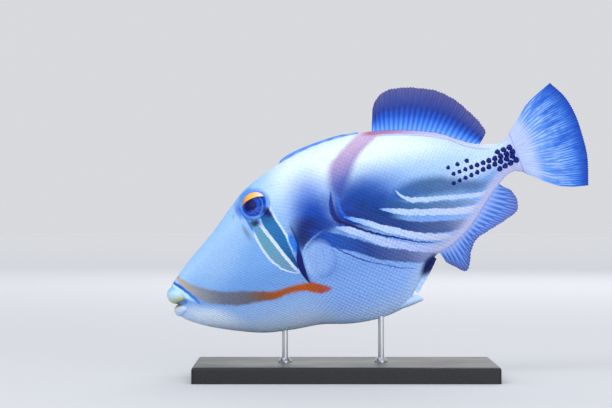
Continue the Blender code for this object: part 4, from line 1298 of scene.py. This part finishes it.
@dataclass
class ScaleCoat:
    """The scales: raised lozenge plates in crossing rows, set on the skin."""

    pitch: Line = ((6, 1.45), (40, 1.6), (64, 1.8), (80, 2.3), (120, 2.5), (150, 2.2), (188, 1.6))
    tall: float = 1.08  # height of a scale over its length
    cover: float = 0.975  # share of its cell that a scale fills
    squareness: float = 1.06  # 1 draws a sharp lozenge, 2 an oval
    rise: Pair = (0.09, 0.155)  # how far its middle stands out, on the head and the body
    flat_belly: float = 0.55  # share of its rise that a scale loses under the belly
    vary: Pair = (0.75, 1.15)  # least and most share of that rise
    sunk: float = 0.12
    start: float = 9.5
    map_patch: float = 0.003
    gill_cut: float = 71.2
    seed: int = 7
    reach: float = 80.0  # farthest distance round the flank from its widest level
    fine: float = 0.5  # step of the table of angles

    places: Array = field(init=False)
    rows: Array = field(init=False)
    table: Array = field(init=False)
    limits: Array = field(init=False)

    def __post_init__(self) -> None:
        """Measures round the flesh, so that rows can be spaced by distance."""
        angles = np.linspace(0, math.pi, 241)
        self.places = np.arange(1.0, FLESH.tail_end, self.fine)
        self.rows = np.arange(-self.reach, self.reach + self.fine, self.fine)
        table, limits = [], []
        for x in self.places:
            ring = FLESH.point(np.full_like(angles, x), angles)
            run = np.concatenate(([0], np.cumsum(np.linalg.norm(np.diff(ring, axis=0), axis=1))))
            upwards = run[len(angles) // 2] - run
            table.append(np.interp(self.rows, upwards[::-1], angles[::-1]))
            limits.append((upwards[-1], upwards[0]))
        self.table, self.limits = np.array(table), np.array(limits)

    def angle_at(self, x: Array, up: Array) -> Array:
        """Angle from the top of the back at x, a distance up the flank from its widest level."""
        i = np.clip((x - self.places[0]) / self.fine, 0, len(self.places) - 1.001)
        j = np.clip((up - self.rows[0]) / self.fine, 0, len(self.rows) - 1.001)
        i0, j0 = i.astype(int), j.astype(int)
        fi, fj = i - i0, j - j0
        t = self.table
        lower = blend((t[i0, j0], t[i0 + 1, j0]), fi)
        return blend((lower, blend((t[i0, j0 + 1], t[i0 + 1, j0 + 1]), fi)), fj)

    def height(self, x: Array, row: Array) -> Array:
        """Distance of a row up the flank at x."""
        return row * smooth_at(self.pitch, x) / 2 * self.tall

    def lattice(self) -> tuple[Array, Array, Array]:
        """Place along the fish, row up the flank and cell size of each scale."""
        found = []
        x, column = self.start, 0
        while x < FLESH.tail_end - 1.2:
            pitch = float(smooth_at(self.pitch, x))
            step = pitch / 2 * self.tall
            low, high = (float(np.interp(x, self.places, self.limits[:, k])) for k in range(2))
            rows = np.arange(math.ceil((low + step) / step), math.floor((high - step) / step) + 1)
            rows = rows[(rows + column) % 2 == 0]
            found.append(np.stack([np.full(len(rows), x), rows, np.full(len(rows), pitch)], axis=-1))
            x += pitch / 2
            column += 1
        return tuple(np.concatenate(found).T)

    def bare(self, points: Array, side: Side) -> Array:
        """True where no scale grows: round the eye, the lips, the nostrils and the gill slit."""
        x, y, z = points.T
        slit, _, share = from_line(GILL_SLIT, x, z)
        near_slit = slit < along(GILL_SLIT, share)[:, 2] + 0.9
        near_eye = EYE.off_axis(points, side) < 8.8
        near_nostril = np.min([np.hypot(x - a, z - b) for a, b in SKIN.nostrils], axis=0) < 2
        start, end = SKIN.groove
        in_groove = (np.abs(y) < SKIN.groove_half_width + 1.2) & (x > start - 1) & (x < end + 1) & (z > 0)
        lips = (x < 13.5) & (np.abs(z - SKIN.mouth[0]) < 6)
        return near_slit | near_eye | near_nostril | in_groove | lips

    @staticmethod
    def plates(count: int) -> tuple[Mesh, int]:
        """A mesh of a number of like plates, one after another, made by an array.

        Args:
            count: how many plates.

        Returns:
            The mesh, and how many vertices each plate has.
        """
        bm = bmesh.new()
        bmesh.ops.create_cone(bm, cap_ends=True, segments=8, radius1=1, radius2=0.7, depth=1)
        bmesh.ops.poke(bm, faces=[face for face in bm.faces if face.normal.z > 0.9])
        each = len(bm.verts)
        mesh = mesh_of("plate", bm)
        proto = bpy.data.objects.new("plate", mesh)
        bpy.context.scene.collection.objects.link(proto)
        array = proto.modifiers.new("rows", "ARRAY")
        array.count = count
        array.use_relative_offset = False
        array.use_constant_offset = True
        array.constant_offset_displace = (3, 0, 0)
        made = bpy.data.meshes.new_from_object(proto.evaluated_get(bpy.context.evaluated_depsgraph_get()))
        bpy.data.objects.remove(proto)
        bpy.data.meshes.remove(mesh)
        return made, each

    def build(self, side: Side, finish: Material) -> None:
        """The scales of one flank, on the head and on the body."""
        x, row, pitch = self.lattice()
        angle = self.angle_at(x, self.height(x, row)) * side.value
        keep = ~self.bare(FLESH.point(x, angle), side)
        vary = np.random.default_rng(self.seed + side.value).uniform(*self.vary, len(x))
        for name, part in (("head", x < self.gill_cut), ("body", x >= self.gill_cut)):
            cells = (values[keep & part] for values in (x, row, pitch, vary))
            self.piece(f"{name}_scales_{side.word}", side, tuple(cells), finish)

    def piece(self, name: str, side: Side, cells: tuple[Array, ...], finish: Material) -> None:
        """One joined mesh of scales with its bake map.

        Args:
            name: the piece's name.
            side: the flank that it is on.
            cells: place, row, size and share of the rise of each scale.
            finish: its material.
        """
        x, row, pitch, vary = (values[:, None] for values in cells)
        mesh, each = self.plates(len(x))
        flat = Bench.corners(mesh).reshape(len(x), each, 3)[0]
        angle = np.arctan2(flat[:, 1], flat[:, 0])
        radius = np.hypot(flat[:, 0], flat[:, 1])
        power = self.squareness
        lozenge = (np.abs(np.cos(angle)) ** power + np.abs(np.sin(angle)) ** power) ** (-1 / power)
        a, b = radius * lozenge * np.cos(angle), radius * lozenge * np.sin(angle)
        # each scale's hind end stands a little over the next
        top = np.where(radius < 0.1, 1, 0.82) + 0.3 * a
        round_it = self.angle_at(x, self.height(x, row)) / math.pi
        rise = blend(self.rise, ease(x, 62, 90)) * (1 - self.flat_belly * ease(round_it, 0.58, 0.8))
        height = np.where(flat[:, 2] < 0, -self.sunk, top * rise)
        px = x + a * self.cover * pitch / 2
        turn = self.angle_at(px, self.height(px, row + b * self.cover)) * side.value
        px, turn = px.ravel(), turn.ravel()
        points = FLESH.point(px, turn)
        lift = (height * np.where(height > 0, vary, 1)).ravel()
        lift += SKIN.relief(points, side) - SKIN.under(px)
        Bench.put(mesh, points + FLESH.normal(px, turn) * lift[:, None])
        # a small patch of the map for each scale, at its place on the fish
        map_u = x / FLESH.tail_end * 0.98 + 0.01 + a * self.map_patch / 2
        map_v = round_it * 0.98 + 0.01 + b * self.map_patch / 2
        Bench.unwrap(mesh, "OFBake", np.stack([map_u.ravel(), map_v.ravel()], axis=-1))
        Bench.turn_out(mesh)
        Bench.piece_of(name, mesh, finish, "skin")


@dataclass(frozen=True)
class Lip:
    """A lip round the snout: x, y, z and thickness in the middle, then at a corner of the mouth."""

    name: str
    middle: tuple[float, ...]
    corner: tuple[float, ...]
    finish: LipFinish
    steps: int = 44

    def build(self) -> None:
        """The lip's piece."""
        middle, corner = Vector(self.middle), Vector(self.corner)
        points = []
        for k in range(self.steps + 1):
            angle = math.pi * (k / self.steps - 0.5)
            x, _, z, radius = middle.lerp(corner, 1 - math.cos(angle))
            fold = 1 + 0.02 * math.sin(angle * 9) * math.cos(angle)
            taper = max(math.cos(angle), 0.004) ** 0.4
            points.append((Vector((x, corner.y * math.sin(angle), z)), radius * fold * taper))
        Bench.piece(self.name, rod_bmesh(points, Vector((0, 0, 1)), 28), self.finish.make(), "skin")


LIPS = (
    Lip("upper_lip", (3.9, 0, -0.9, 4.5), (8, 5.4, -4.2, 3.2), LipFinish("upper_lip_cream", -5.6, 3.4, (
        (0, 0x9A9660), (0.28, 0xB0BA92), (0.5, 0xB0CED8), (0.75, 0xACD6F6), (1, 0x78B6F4),
    ))),
    Lip("lower_lip", (3.2, 0, -8.9, 3.1), (8.2, 4.7, -9.2, 2.3), LipFinish("lower_lip_cream", -12, -5.8, (
        (0, 0xACCAFA), (0.5, 0xAECAF2), (0.78, 0xBACAD8), (1, 0xA09C6E),
    ))),
)


@dataclass(frozen=True)
class LongFin:
    """A fin whose rays stand in a row along the body's outline."""

    name: str
    node: str
    outline: Line
    direction: int  # 1 up, -1 down
    base: Pair
    tips: Line
    rays: int
    sway: float
    finish: FinFinish
    web: Pair = (1.0, 0.26)
    ridge: Pair = (0.55, 0.28)
    per_ray: int = 8
    rows: int = 36
    fringe: float = 0.4  # how far the tips of the rays reach past the web

    def place(self, u: Array, v: Array, side: Array) -> Array:
        """Points of the fin, from ray to ray by u and from root to edge by v."""
        phase = u * (self.rays - 1)
        ridge = blend((crest(phase), crest(2 * phase)), ease(v, 0.5, 0.7))
        x = blend(self.base, u)
        root = np.stack([x, smooth_at(self.outline, x) - 0.5 * self.direction], axis=-1)
        tip = along(self.tips, u)
        length = np.linalg.norm(tip - root, axis=-1)
        ragged = 0.18 * np.sin(u * 61) * np.sin(u * 23)
        short = (self.fringe * (1 - ridge) - ragged) * v / length
        flat = root + (tip - root) * (v * (1 - short))[:, None]
        bend = self.sway * v**1.6 * np.sin(2.2 * np.pi * u + 0.6)
        ripple = 0.12 * v * np.sin(2 * np.pi * phase)
        thickness = blend(self.web, v**0.7) + ridge * blend(self.ridge, v)
        return np.stack([flat[:, 0], bend + ripple + side * thickness / 2, flat[:, 1]], axis=-1)

    def build(self) -> None:
        """The fin's piece."""
        quads = (self.per_ray * (self.rays - 1), self.rows)
        sheet_piece(self.name, quads, self.place, self.finish.make(), "fin", self.node)


LONG_FINS = (
    LongFin(
        name="second_dorsal_fin", node="dorsal_fin", outline=FLESH.back, direction=1, base=(124.8, 172.6),
        tips=(
            (129.6, 50), (132.4, 53.2), (136, 55.2), (141, 55.7), (147, 54.4), (154, 51.4), (160, 48.2),
            (166, 43.2), (171, 36.4), (175, 28.6), (177.8, 21.6), (178, 18), (175.6, 15.6),
        ),
        rays=24, sway=1.6,
        finish=FinFinish(
            "dorsal_fin_web", 24,
            web=((0, 0x78ACF2), (0.16, 0x4E90EC), (0.36, 0x1A5CCE), (0.54, 0x1C409E), (0.8, 0x36428C),
                 (1, 0x504E88)),
            ray=((0, 0x5288E6), (0.16, 0x2E68DC), (0.36, 0x0A3CAC), (0.54, 0x0E2C88), (0.8, 0x445098),
                 (1, 0x565894)),
        ),
    ),
    LongFin(
        name="soft_anal_fin", node="anal_fin", outline=FLESH.belly, direction=-1, base=(134.2, 174.6),
        tips=(
            (135.8, -35.6), (139.6, -40), (143.2, -43.3), (146.4, -40.8), (149.6, -34.6), (154, -30.4),
            (160, -28.6), (166, -27.6), (172, -26.2), (177.8, -24.6), (180.2, -19.6), (179.4, -14),
            (176, -10.4),
        ),
        rays=22, sway=2.6,
        finish=FinFinish(
            "anal_fin_web", 22,
            web=((0, 0x8CA8EC), (0.3, 0x4670CC), (0.6, 0x3058B8), (1, 0x4C589C)),
            ray=((0, 0x92B0F0), (0.3, 0x7CA2EA), (0.7, 0x6A90DE), (1, 0x5E6EB6)),
        ),
    ),
)


@dataclass(frozen=True)
class TailFin:
    """The broad fan behind the tail stem."""

    top: Line = ((188.7, 13.2), (195, 18), (200.5, 22.6), (207, 25.8), (217, 29.2))
    foot: Line = ((188.7, -8), (195, -14.2), (201, -19.6), (208, -23.2), (216, -25.6))
    hind: Line = ((217, 29.2), (221.4, 20), (223, 10), (222.6, 0), (220.9, -12), (216, -25.6))
    rays: int = 12
    per_ray: int = 16
    rows: int = 44
    web: Pair = (6.5, 0.26)
    flesh: float = 0.32
    ridge: Pair = (0.14, 0.12)
    fringe: float = 0.4
    finish: FinFinish = FinFinish(
        "tail_fin_web", 25,
        web=((0, 0xB0C0F0), (0.2, 0xACBEF0), (0.36, 0x5A90E4), (0.66, 0x1C62D0), (0.88, 0x0C52C0),
             (1, 0x00369E)),
        ray=((0, 0xB0C0F0), (0.22, 0xB4C8F4), (0.55, 0x9EC4F6), (0.8, 0x6098EA), (0.92, 0x185CC8),
             (1, 0x003EA8)),
        fork=(0.45, 0.6), ray_width=0.46, mottle=0.26, wander=0.9, patchy=1.0,
    )

    def place(self, u: Array, v: Array, side: Array) -> Array:
        """Points of the fin, from its top to its foot by u and from root to edge by v."""
        phase = u * self.rays - 0.5
        forked = blend((crest(phase), crest(2 * phase)), ease(v, 0.06, 0.2))
        ridge = blend((forked, crest(4 * phase)), ease(v, 0.5, 0.7))
        top, foot = ([np.array(line[end]) for end in (0, -1)] for line in (self.top, self.foot))
        root = blend((top[0], foot[0]), u[:, None])
        tip = along(self.hind, u)
        short = self.fringe * (1 - ridge) * v / np.linalg.norm(tip - root, axis=-1)
        flat = root + (tip - root) * (v * (1 - short))[:, None]
        top_bow = along(self.top, v) - blend(top, v[:, None])
        foot_bow = along(self.foot, v) - blend(foot, v[:, None])
        flat = flat + top_bow * ((1 - u) ** 2)[:, None] + foot_bow * (u**2)[:, None]
        oval = np.maximum(1 - np.abs(2 * u - 1) ** 2.2, 0.03) ** 0.45
        fleshy = np.maximum(1 - v / self.flesh, 0) ** 2
        thickness = blend((self.web[1], self.web[0] * oval), fleshy)
        thickness = thickness + ridge * blend(self.ridge, v) * ease(v, 0.05, self.flesh)
        ripple = 0.5 * v**2 * np.sin(3.1 * u + 0.8)
        return np.stack([flat[:, 0] - 0.4 * (1 - v), ripple + side * thickness / 2, flat[:, 1]], axis=-1)

    def build(self) -> None:
        """The fin's piece."""
        quads = (self.rays * self.per_ray, self.rows)
        sheet_piece("tail_fan", quads, self.place, self.finish.make(), "fin", "tail_fin")


@dataclass(frozen=True)
class PectoralFin:
    """The small clear fan behind each gill slit."""

    root: Line = ((72.2, -5.4), (72.4, -14.4))
    tips: Line = (
        (75.4, -1.2), (79, 0.6), (82.8, -0.8), (85.2, -4.6), (86, -9.6), (85, -14.6), (82, -18.4),
        (78, -19.8), (74.6, -18.8),
    )
    rays: int = 13
    lift: float = 2.6
    web: Pair = (0.5, 0.2)
    ridge: Pair = (0.4, 0.2)
    finish: FinFinish = FinFinish(
        "side_fin_web", 13,
        web=((0, 0x96BEF6), (0.6, 0x78A8F0), (0.93, 0x5A8CE2), (1, 0x1E48B0)),
        ray=((0, 0xBED6FA), (0.6, 0xA0C4F6), (0.95, 0x6492E2), (1, 0x1E46B0)),
        opacity=0.14, mottle=0.05,
    )

    def place(self, flank: Side) -> Place:
        """Gives the fin's points on one flank."""
        top, foot = np.array(self.root[0]), np.array(self.root[1])
        length = max(row[0] for row in self.tips) - top[0]

        def points(u: Array, v: Array, side: Array) -> Array:
            """Points from ray to ray by u and from root to edge by v."""
            phase = u * (self.rays - 1)
            ridge = blend((crest(phase), crest(2 * phase)), ease(v, 0.6, 0.8))
            root = blend((top, foot), u[:, None])
            flat = root + (along(self.tips, u) - root) * (v * (1 - 0.03 * (1 - ridge) * v))[:, None]
            share = np.maximum((flat[:, 0] - top[0]) / length, 0)
            inner = FLESH.flank(flat[:, 0], flat[:, 1]) + 0.1 + self.lift * share**1.4
            thickness = blend(self.web, v) + ridge * blend(self.ridge, v)
            y = flank.value * (inner + np.where(side > 0, thickness, 0))
            return np.stack([flat[:, 0], y, flat[:, 1]], axis=-1)

        return points

    def build(self, side: Side, finish: Material) -> None:
        """The fin's piece on one flank."""
        quads = (8 * (self.rays - 1), 22)
        node = f"pectoral_fin_{side.word}"
        sheet_piece(f"side_fin_{side.word}", quads, self.place(side), finish, "fin", node)


@dataclass(frozen=True)
class FirstDorsalFin:
    """The three folded spines and the web between them, lying in the groove of the back."""

    half_width: float = 1.6
    fold: float = 0.6
    crease: float = 0.22
    # first and last x of each spine, then its thickness there
    spines: Line = ((76.6, 99.0, 1.2, 0.4), (90.0, 106.0, 0.7, 0.3), (101.0, 112.0, 0.55, 0.25))
    finish: FinFinish = FinFinish(
        "folded_fin_web", 7,
        web=((0, 0x78AAF0), (0.2, 0x2C6CDC), (0.5, 0x0E3CAC), (0.8, 0x2C6CDC), (1, 0x78AAF0)),
        ray=((0, 0x5A8CE2), (0.25, 0x164ABE), (0.5, 0x042482), (0.75, 0x164ABE), (1, 0x5A8CE2)),
        fork=(2.0, 3.0),
    )

    def place(self, u: Array, v: Array, side: Array) -> Array:
        """Points of the folded web, which is creased along the back."""
        start, end = SKIN.groove
        x = blend((start + 0.3, end - 0.3), u)
        top = smooth_at(FLESH.back, x)
        y = (v - 0.5) * 2 * self.half_width
        crown = self.fold * (1 - (2 * v - 1) ** 2) * ease(u, 0, 0.08) * (1 - 0.8 * u)
        crease = self.crease * np.sin(v * 6 * np.pi + np.sin(u * 19) * 1.2) * (1 - u) * ease(u, 0.03, 0.2)
        return np.stack([x, y, np.where(side > 0, top + crown + crease, top - 1.5)], axis=-1)

    def build(self) -> None:
        """The web and the spines."""
        finish = self.finish.make()
        sheet_piece("folded_web", (120, 20), self.place, finish, "fin", "first_dorsal_fin")
        parts = []
        for start, end, thick, thin in self.spines:
            points = []
            for share in np.linspace(0, 1, 17):
                x = blend((start, end), share)
                knurl = 1 + 0.05 * math.sin(share * 70)
                ends = min(1, (1 - share) * 8 + 0.08, share * 4 + 0.06)
                radius = blend((thick, thin), share) * knurl * math.sqrt(ends)
                points.append((Vector((x, 0, float(smooth_at(FLESH.back, x)) + 0.25)), radius))
            parts.append(rod_bmesh(points, Vector((0, 1, 0)), 14))
        Bench.piece("folded_spines", joined(parts), finish, "fin")


@dataclass(frozen=True)
class BellyFlap:
    """The flap from the pelvic spine to the vent, and the blunt spine itself."""

    top: Pair = (115.9, 131.0)
    edge: Line = (
        (116.9, -44.7), (119.4, -42.6), (121.6, -40.9), (124.2, -39), (128.4, -35.2), (131.8, -31.9),
    )
    ribs: int = 8
    web: Pair = (1.4, 0.3)
    rib: Pair = (0.5, 0.45)
    spine: Line = ((103, -46.4, 2.2), (110, -46.6, 2.4), (115.2, -47, 2), (118.2, -48.3, 0.7))

    def place(self, u: Array, v: Array, side: Array) -> Array:
        """Points of the flap, from front to back by u and from root to edge by v."""
        x = blend(self.top, u)
        root = np.stack([x, smooth_at(FLESH.belly, x) + 0.6], axis=-1)
        rib = np.cos(np.pi * u * (self.ribs - 1)) ** 2
        flat = root + (along(self.edge, u) - root) * (v * (1 - 0.04 * (1 - rib)))[:, None]
        thickness = blend(self.web, v) + rib * blend(self.rib, v)
        return np.stack([flat[:, 0], side * thickness / 2, flat[:, 1]], axis=-1)

    def build(self, finish: Material) -> None:
        """The flap and the spine's knob."""
        sheet_piece("vent_flap", (84, 14), self.place, finish, "skin", "belly_flap")
        points = []
        for share in np.linspace(0, 1, 29):
            x, z, radius = along(self.spine, share)
            points.append((Vector((x, 0, z)), radius * (1 + 0.07 * math.sin(share * 60))))
        Bench.piece("pelvic_spine", rod_bmesh(points, Vector((0, 1, 0)), 20), finish, "skin")


@dataclass(frozen=True)
class Thorns:
    """Rows of hooked thorns on each side of the tail stem: first x and z, last x and z, how many."""

    rows: tuple[tuple[Pair, Pair, int], ...] = (
        ((153.4, 8.5), (163.4, 8.2), 3),
        ((179.4, 6.7), (185.8, 6.6), 3),
        ((154.8, 4.6), (186.4, 4.0), 11),
        ((153.2, 0.2), (185.6, 2.1), 11),
        ((177.4, -1.6), (186.6, -0.5), 4),
    )
    start: float = 151.0
    radius: Pair = (1.05, 1.62)
    height: Pair = (0.5, 1.35)
    lean: float = 0.55
    sunk: float = 0.25
    rings: int = 6

    def thorn(self, x: float, z: float, side: Side) -> BMesh:
        """One thorn: broad at its root, with its tip bent forwards."""
        share = (x - self.start) / (FLESH.tail_end - self.start)
        radius, height = blend(self.radius, share), blend(self.height, share)
        out = FLESH.flank_normal(x, z, side)
        foot = FLESH.on_flank(x, z, side)
        tailwards = (Vector((1, 0, 0)) - out * out.x).normalized()
        upwards = Vector((0, 0, 1)) - out * out.z
        bm = tube_bmesh(12, self.rings)
        for v in bm.verts:
            up = v.co.z + 0.5
            # three rounded corners, one of them forwards
            around = math.atan2(v.co.y, v.co.x)
            spread = radius * (1 + 0.07 * math.cos(3 * (around - math.pi))) * (1 - up) ** 1.1 + 0.04
            rise = up**1.1 * (height + self.sunk) - self.sunk
            a = math.cos(around) * spread - self.lean * radius * up**2
            v.co = foot + tailwards * a + upwards * (math.sin(around) * spread) + out * rise
        bm.transform(POSE.matrix())
        return bm

    def build(self, side: Side, horn: Material) -> None:
        """All the thorns of one flank."""
        parts = []
        for first, last, count in self.rows:
            for k in range(count):
                x, z = Vector(first).lerp(Vector(last), k / (count - 1))
                parts.append(self.thorn(x, z, side))
        Bench.piece(f"thorns_{side.word}", joined(parts), horn, "skin")


@dataclass(frozen=True)
class Stand:
    """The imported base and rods, with a collar where each rod leaves the base; sizes in metres."""

    rods: tuple[str, str] = ("stand_rod_front", "stand_rod_back")
    collar_radius: float = 0.0034
    collar_height: float = 0.0022
    clearance: float = 0.00004

    def dress(self, nodes: dict[str, Object]) -> None:
        """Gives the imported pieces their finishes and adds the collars."""
        lacquer, steel = LacquerFinish().make(), SteelFinish().make()
        nodes["stand_base"].material_slots[0].material = lacquer
        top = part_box("stand_base")[1].z
        for name in self.rods:
            nodes[name].material_slots[0].material = steel
            low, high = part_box(name)
            self.collar(f"{name}_collar", (low + high) / 2, (high.x - low.x) / 2, top, steel)

    def collar(self, name: str, middle: Vector, inner: float, top: float, steel: Material) -> None:
        """A turned collar round a rod of radius inner, standing on the base at top."""
        bore, outer, height = inner + self.clearance, self.collar_radius, self.collar_height
        profile = [(bore, 0), (outer, 0), (outer, height * 0.35), (outer * 0.86, height * 0.6),
                   (outer * 0.7, height), (bore, height)]
        bm = lathe_bmesh(profile, 40, closed=True)
        bmesh.ops.translate(bm, verts=bm.verts, vec=(middle.x, middle.y, top))
        obj = Bench.piece(name, bm, steel, "stand_steel")
        obj.data.set_sharp_from_angle(angle=math.radians(35))


# The studio


@dataclass(frozen=True)
class Lamp:
    """A soft square lamp, aimed at a place."""

    name: str
    place: tuple[float, float, float]
    aim: tuple[float, float, float]
    size: float
    watts: float

    def build(self) -> None:
        """Adds the lamp."""
        data = bpy.data.lights.new(self.name, "AREA")
        data.size = self.size
        data.energy = self.watts
        lamp = bpy.data.objects.new(self.name, data)
        lamp.visible_camera = False
        lamp.location = self.place
        lamp.rotation_euler = (Vector(self.aim) - Vector(self.place)).to_track_quat("-Z", "Y").to_euler()
        bpy.context.scene.collection.objects.link(lamp)


@dataclass(frozen=True)
class Studio:
    """A pale floor, soft lamps and the camera, which looks level at the fish's left flank."""

    aim: tuple[float, float, float] = (-0.0195, 0.0, 0.087)
    distance: float = 1.2
    frame_width: float = 0.306  # of the picture, at the fish
    sensor: float = 36.0
    floor: int = 0xCCCED2
    far_floor: int = 0xF2F4F7
    glow: int = 0xFFF1E1
    far_glow: float = 0.075
    sky: int = 0xEEF0F4
    sky_strength: float = 0.8
    lamps: tuple[Lamp, ...] = (
        Lamp("key", (-0.8, -1.2, 1.3), (0, 0, 0.08), 1.0, 11.0),
        Lamp("top", (0.15, 0.1, 1.6), (0, 0, 0.08), 1.0, 4.0),
        Lamp("fill", (0.5, -1.6, 0.3), (0, 0, 0.08), 1.4, 14.0),
        Lamp("back", (0.3, 1.4, 1.0), (0, 0, 0.1), 1.0, 6.0),
    )

    def build(self) -> None:
        """Sets the studio up."""
        scene = bpy.context.scene
        scene.view_settings.view_transform = "Standard"
        for lamp in self.lamps:
            lamp.build()
        self.build_floor()
        self.build_world()
        data = bpy.data.cameras.new("camera")
        data.sensor_width = self.sensor
        data.lens = self.sensor * self.distance / self.frame_width
        camera = bpy.data.objects.new("camera", data)
        camera.location = Vector(self.aim) + Vector((0, -self.distance, 0))
        camera.rotation_euler = (math.pi / 2, 0, 0)
        scene.collection.objects.link(camera)
        scene.camera = camera

    def build_floor(self) -> None:
        """A plain pale floor."""
        paint = Paint("floor_paper")
        place = paint.object_place()
        tone = paint.scale(paint.noise(place, 400, 2), 0.3, 0.7, (0.985, 1))
        apart = paint.node("VectorMath", {0: place}, "Value", operation="LENGTH")
        colour = paint.mix(paint.spread(apart, 0.3, 2.6), linear(self.floor), linear(self.far_floor))
        # painted glow: the paper far off is mixed paler and glows, so that it is as bright as the air
        # over it
        paint.set(
            Base_Color=paint.tinted(colour, tone), Roughness=0.85, Specular_IOR_Level=0.2,
            Emission_Color=linear(self.glow),
            Emission_Strength=paint.spread(apart, 1.2, 4.5, (0, self.far_glow)),
        )
        bm = bmesh.new()
        bmesh.ops.create_grid(bm, x_segments=2, y_segments=2, size=6)
        floor = bpy.data.objects.new("floor", mesh_of("floor", bm))
        floor.data.materials.append(paint.material)
        bpy.context.scene.collection.objects.link(floor)

    def build_world(self) -> None:
        """Even light from all round."""
        world = bpy.data.worlds.new("studio")
        world.use_nodes = True
        background = world.node_tree.nodes["Background"]
        background.inputs["Color"].default_value = linear(self.sky)
        background.inputs["Strength"].default_value = self.sky_strength
        bpy.context.scene.world = world


def build_fish() -> None:
    """Builds the whole fish, piece by piece."""
    # the skin is painted a little darker than the scales over it, as painted shade in the gaps between
    # them
    skin, scales = SkinFinish("painted_skin", shade=0.93).make(), SkinFinish("painted_scales").make()
    glassy, horn = EyeFinish().make(), ThornFinish().make()
    SKIN.build(skin)
    coat, side_fin, thorns = ScaleCoat(), PectoralFin(), Thorns()
    clear = side_fin.finish.make()
    for side in Side:
        coat.build(side, scales)
        EYE.build(side, glassy)
        EYE.build_rim(side, scales)
        side_fin.build(side, clear)
        thorns.build(side, horn)
    for part in (*LIPS, *LONG_FINS, TailFin(), FirstDorsalFin()):
        part.build()
    BellyFlap().build(scales)


def main() -> None:
    """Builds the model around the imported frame."""
    logging.basicConfig(level=logging.INFO, format="%(name)s: %(message)s")
    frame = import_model()
    build_fish()
    Stand().dress(frame["nodes"])
    Studio().build()


if __name__ == "__main__":
    main()
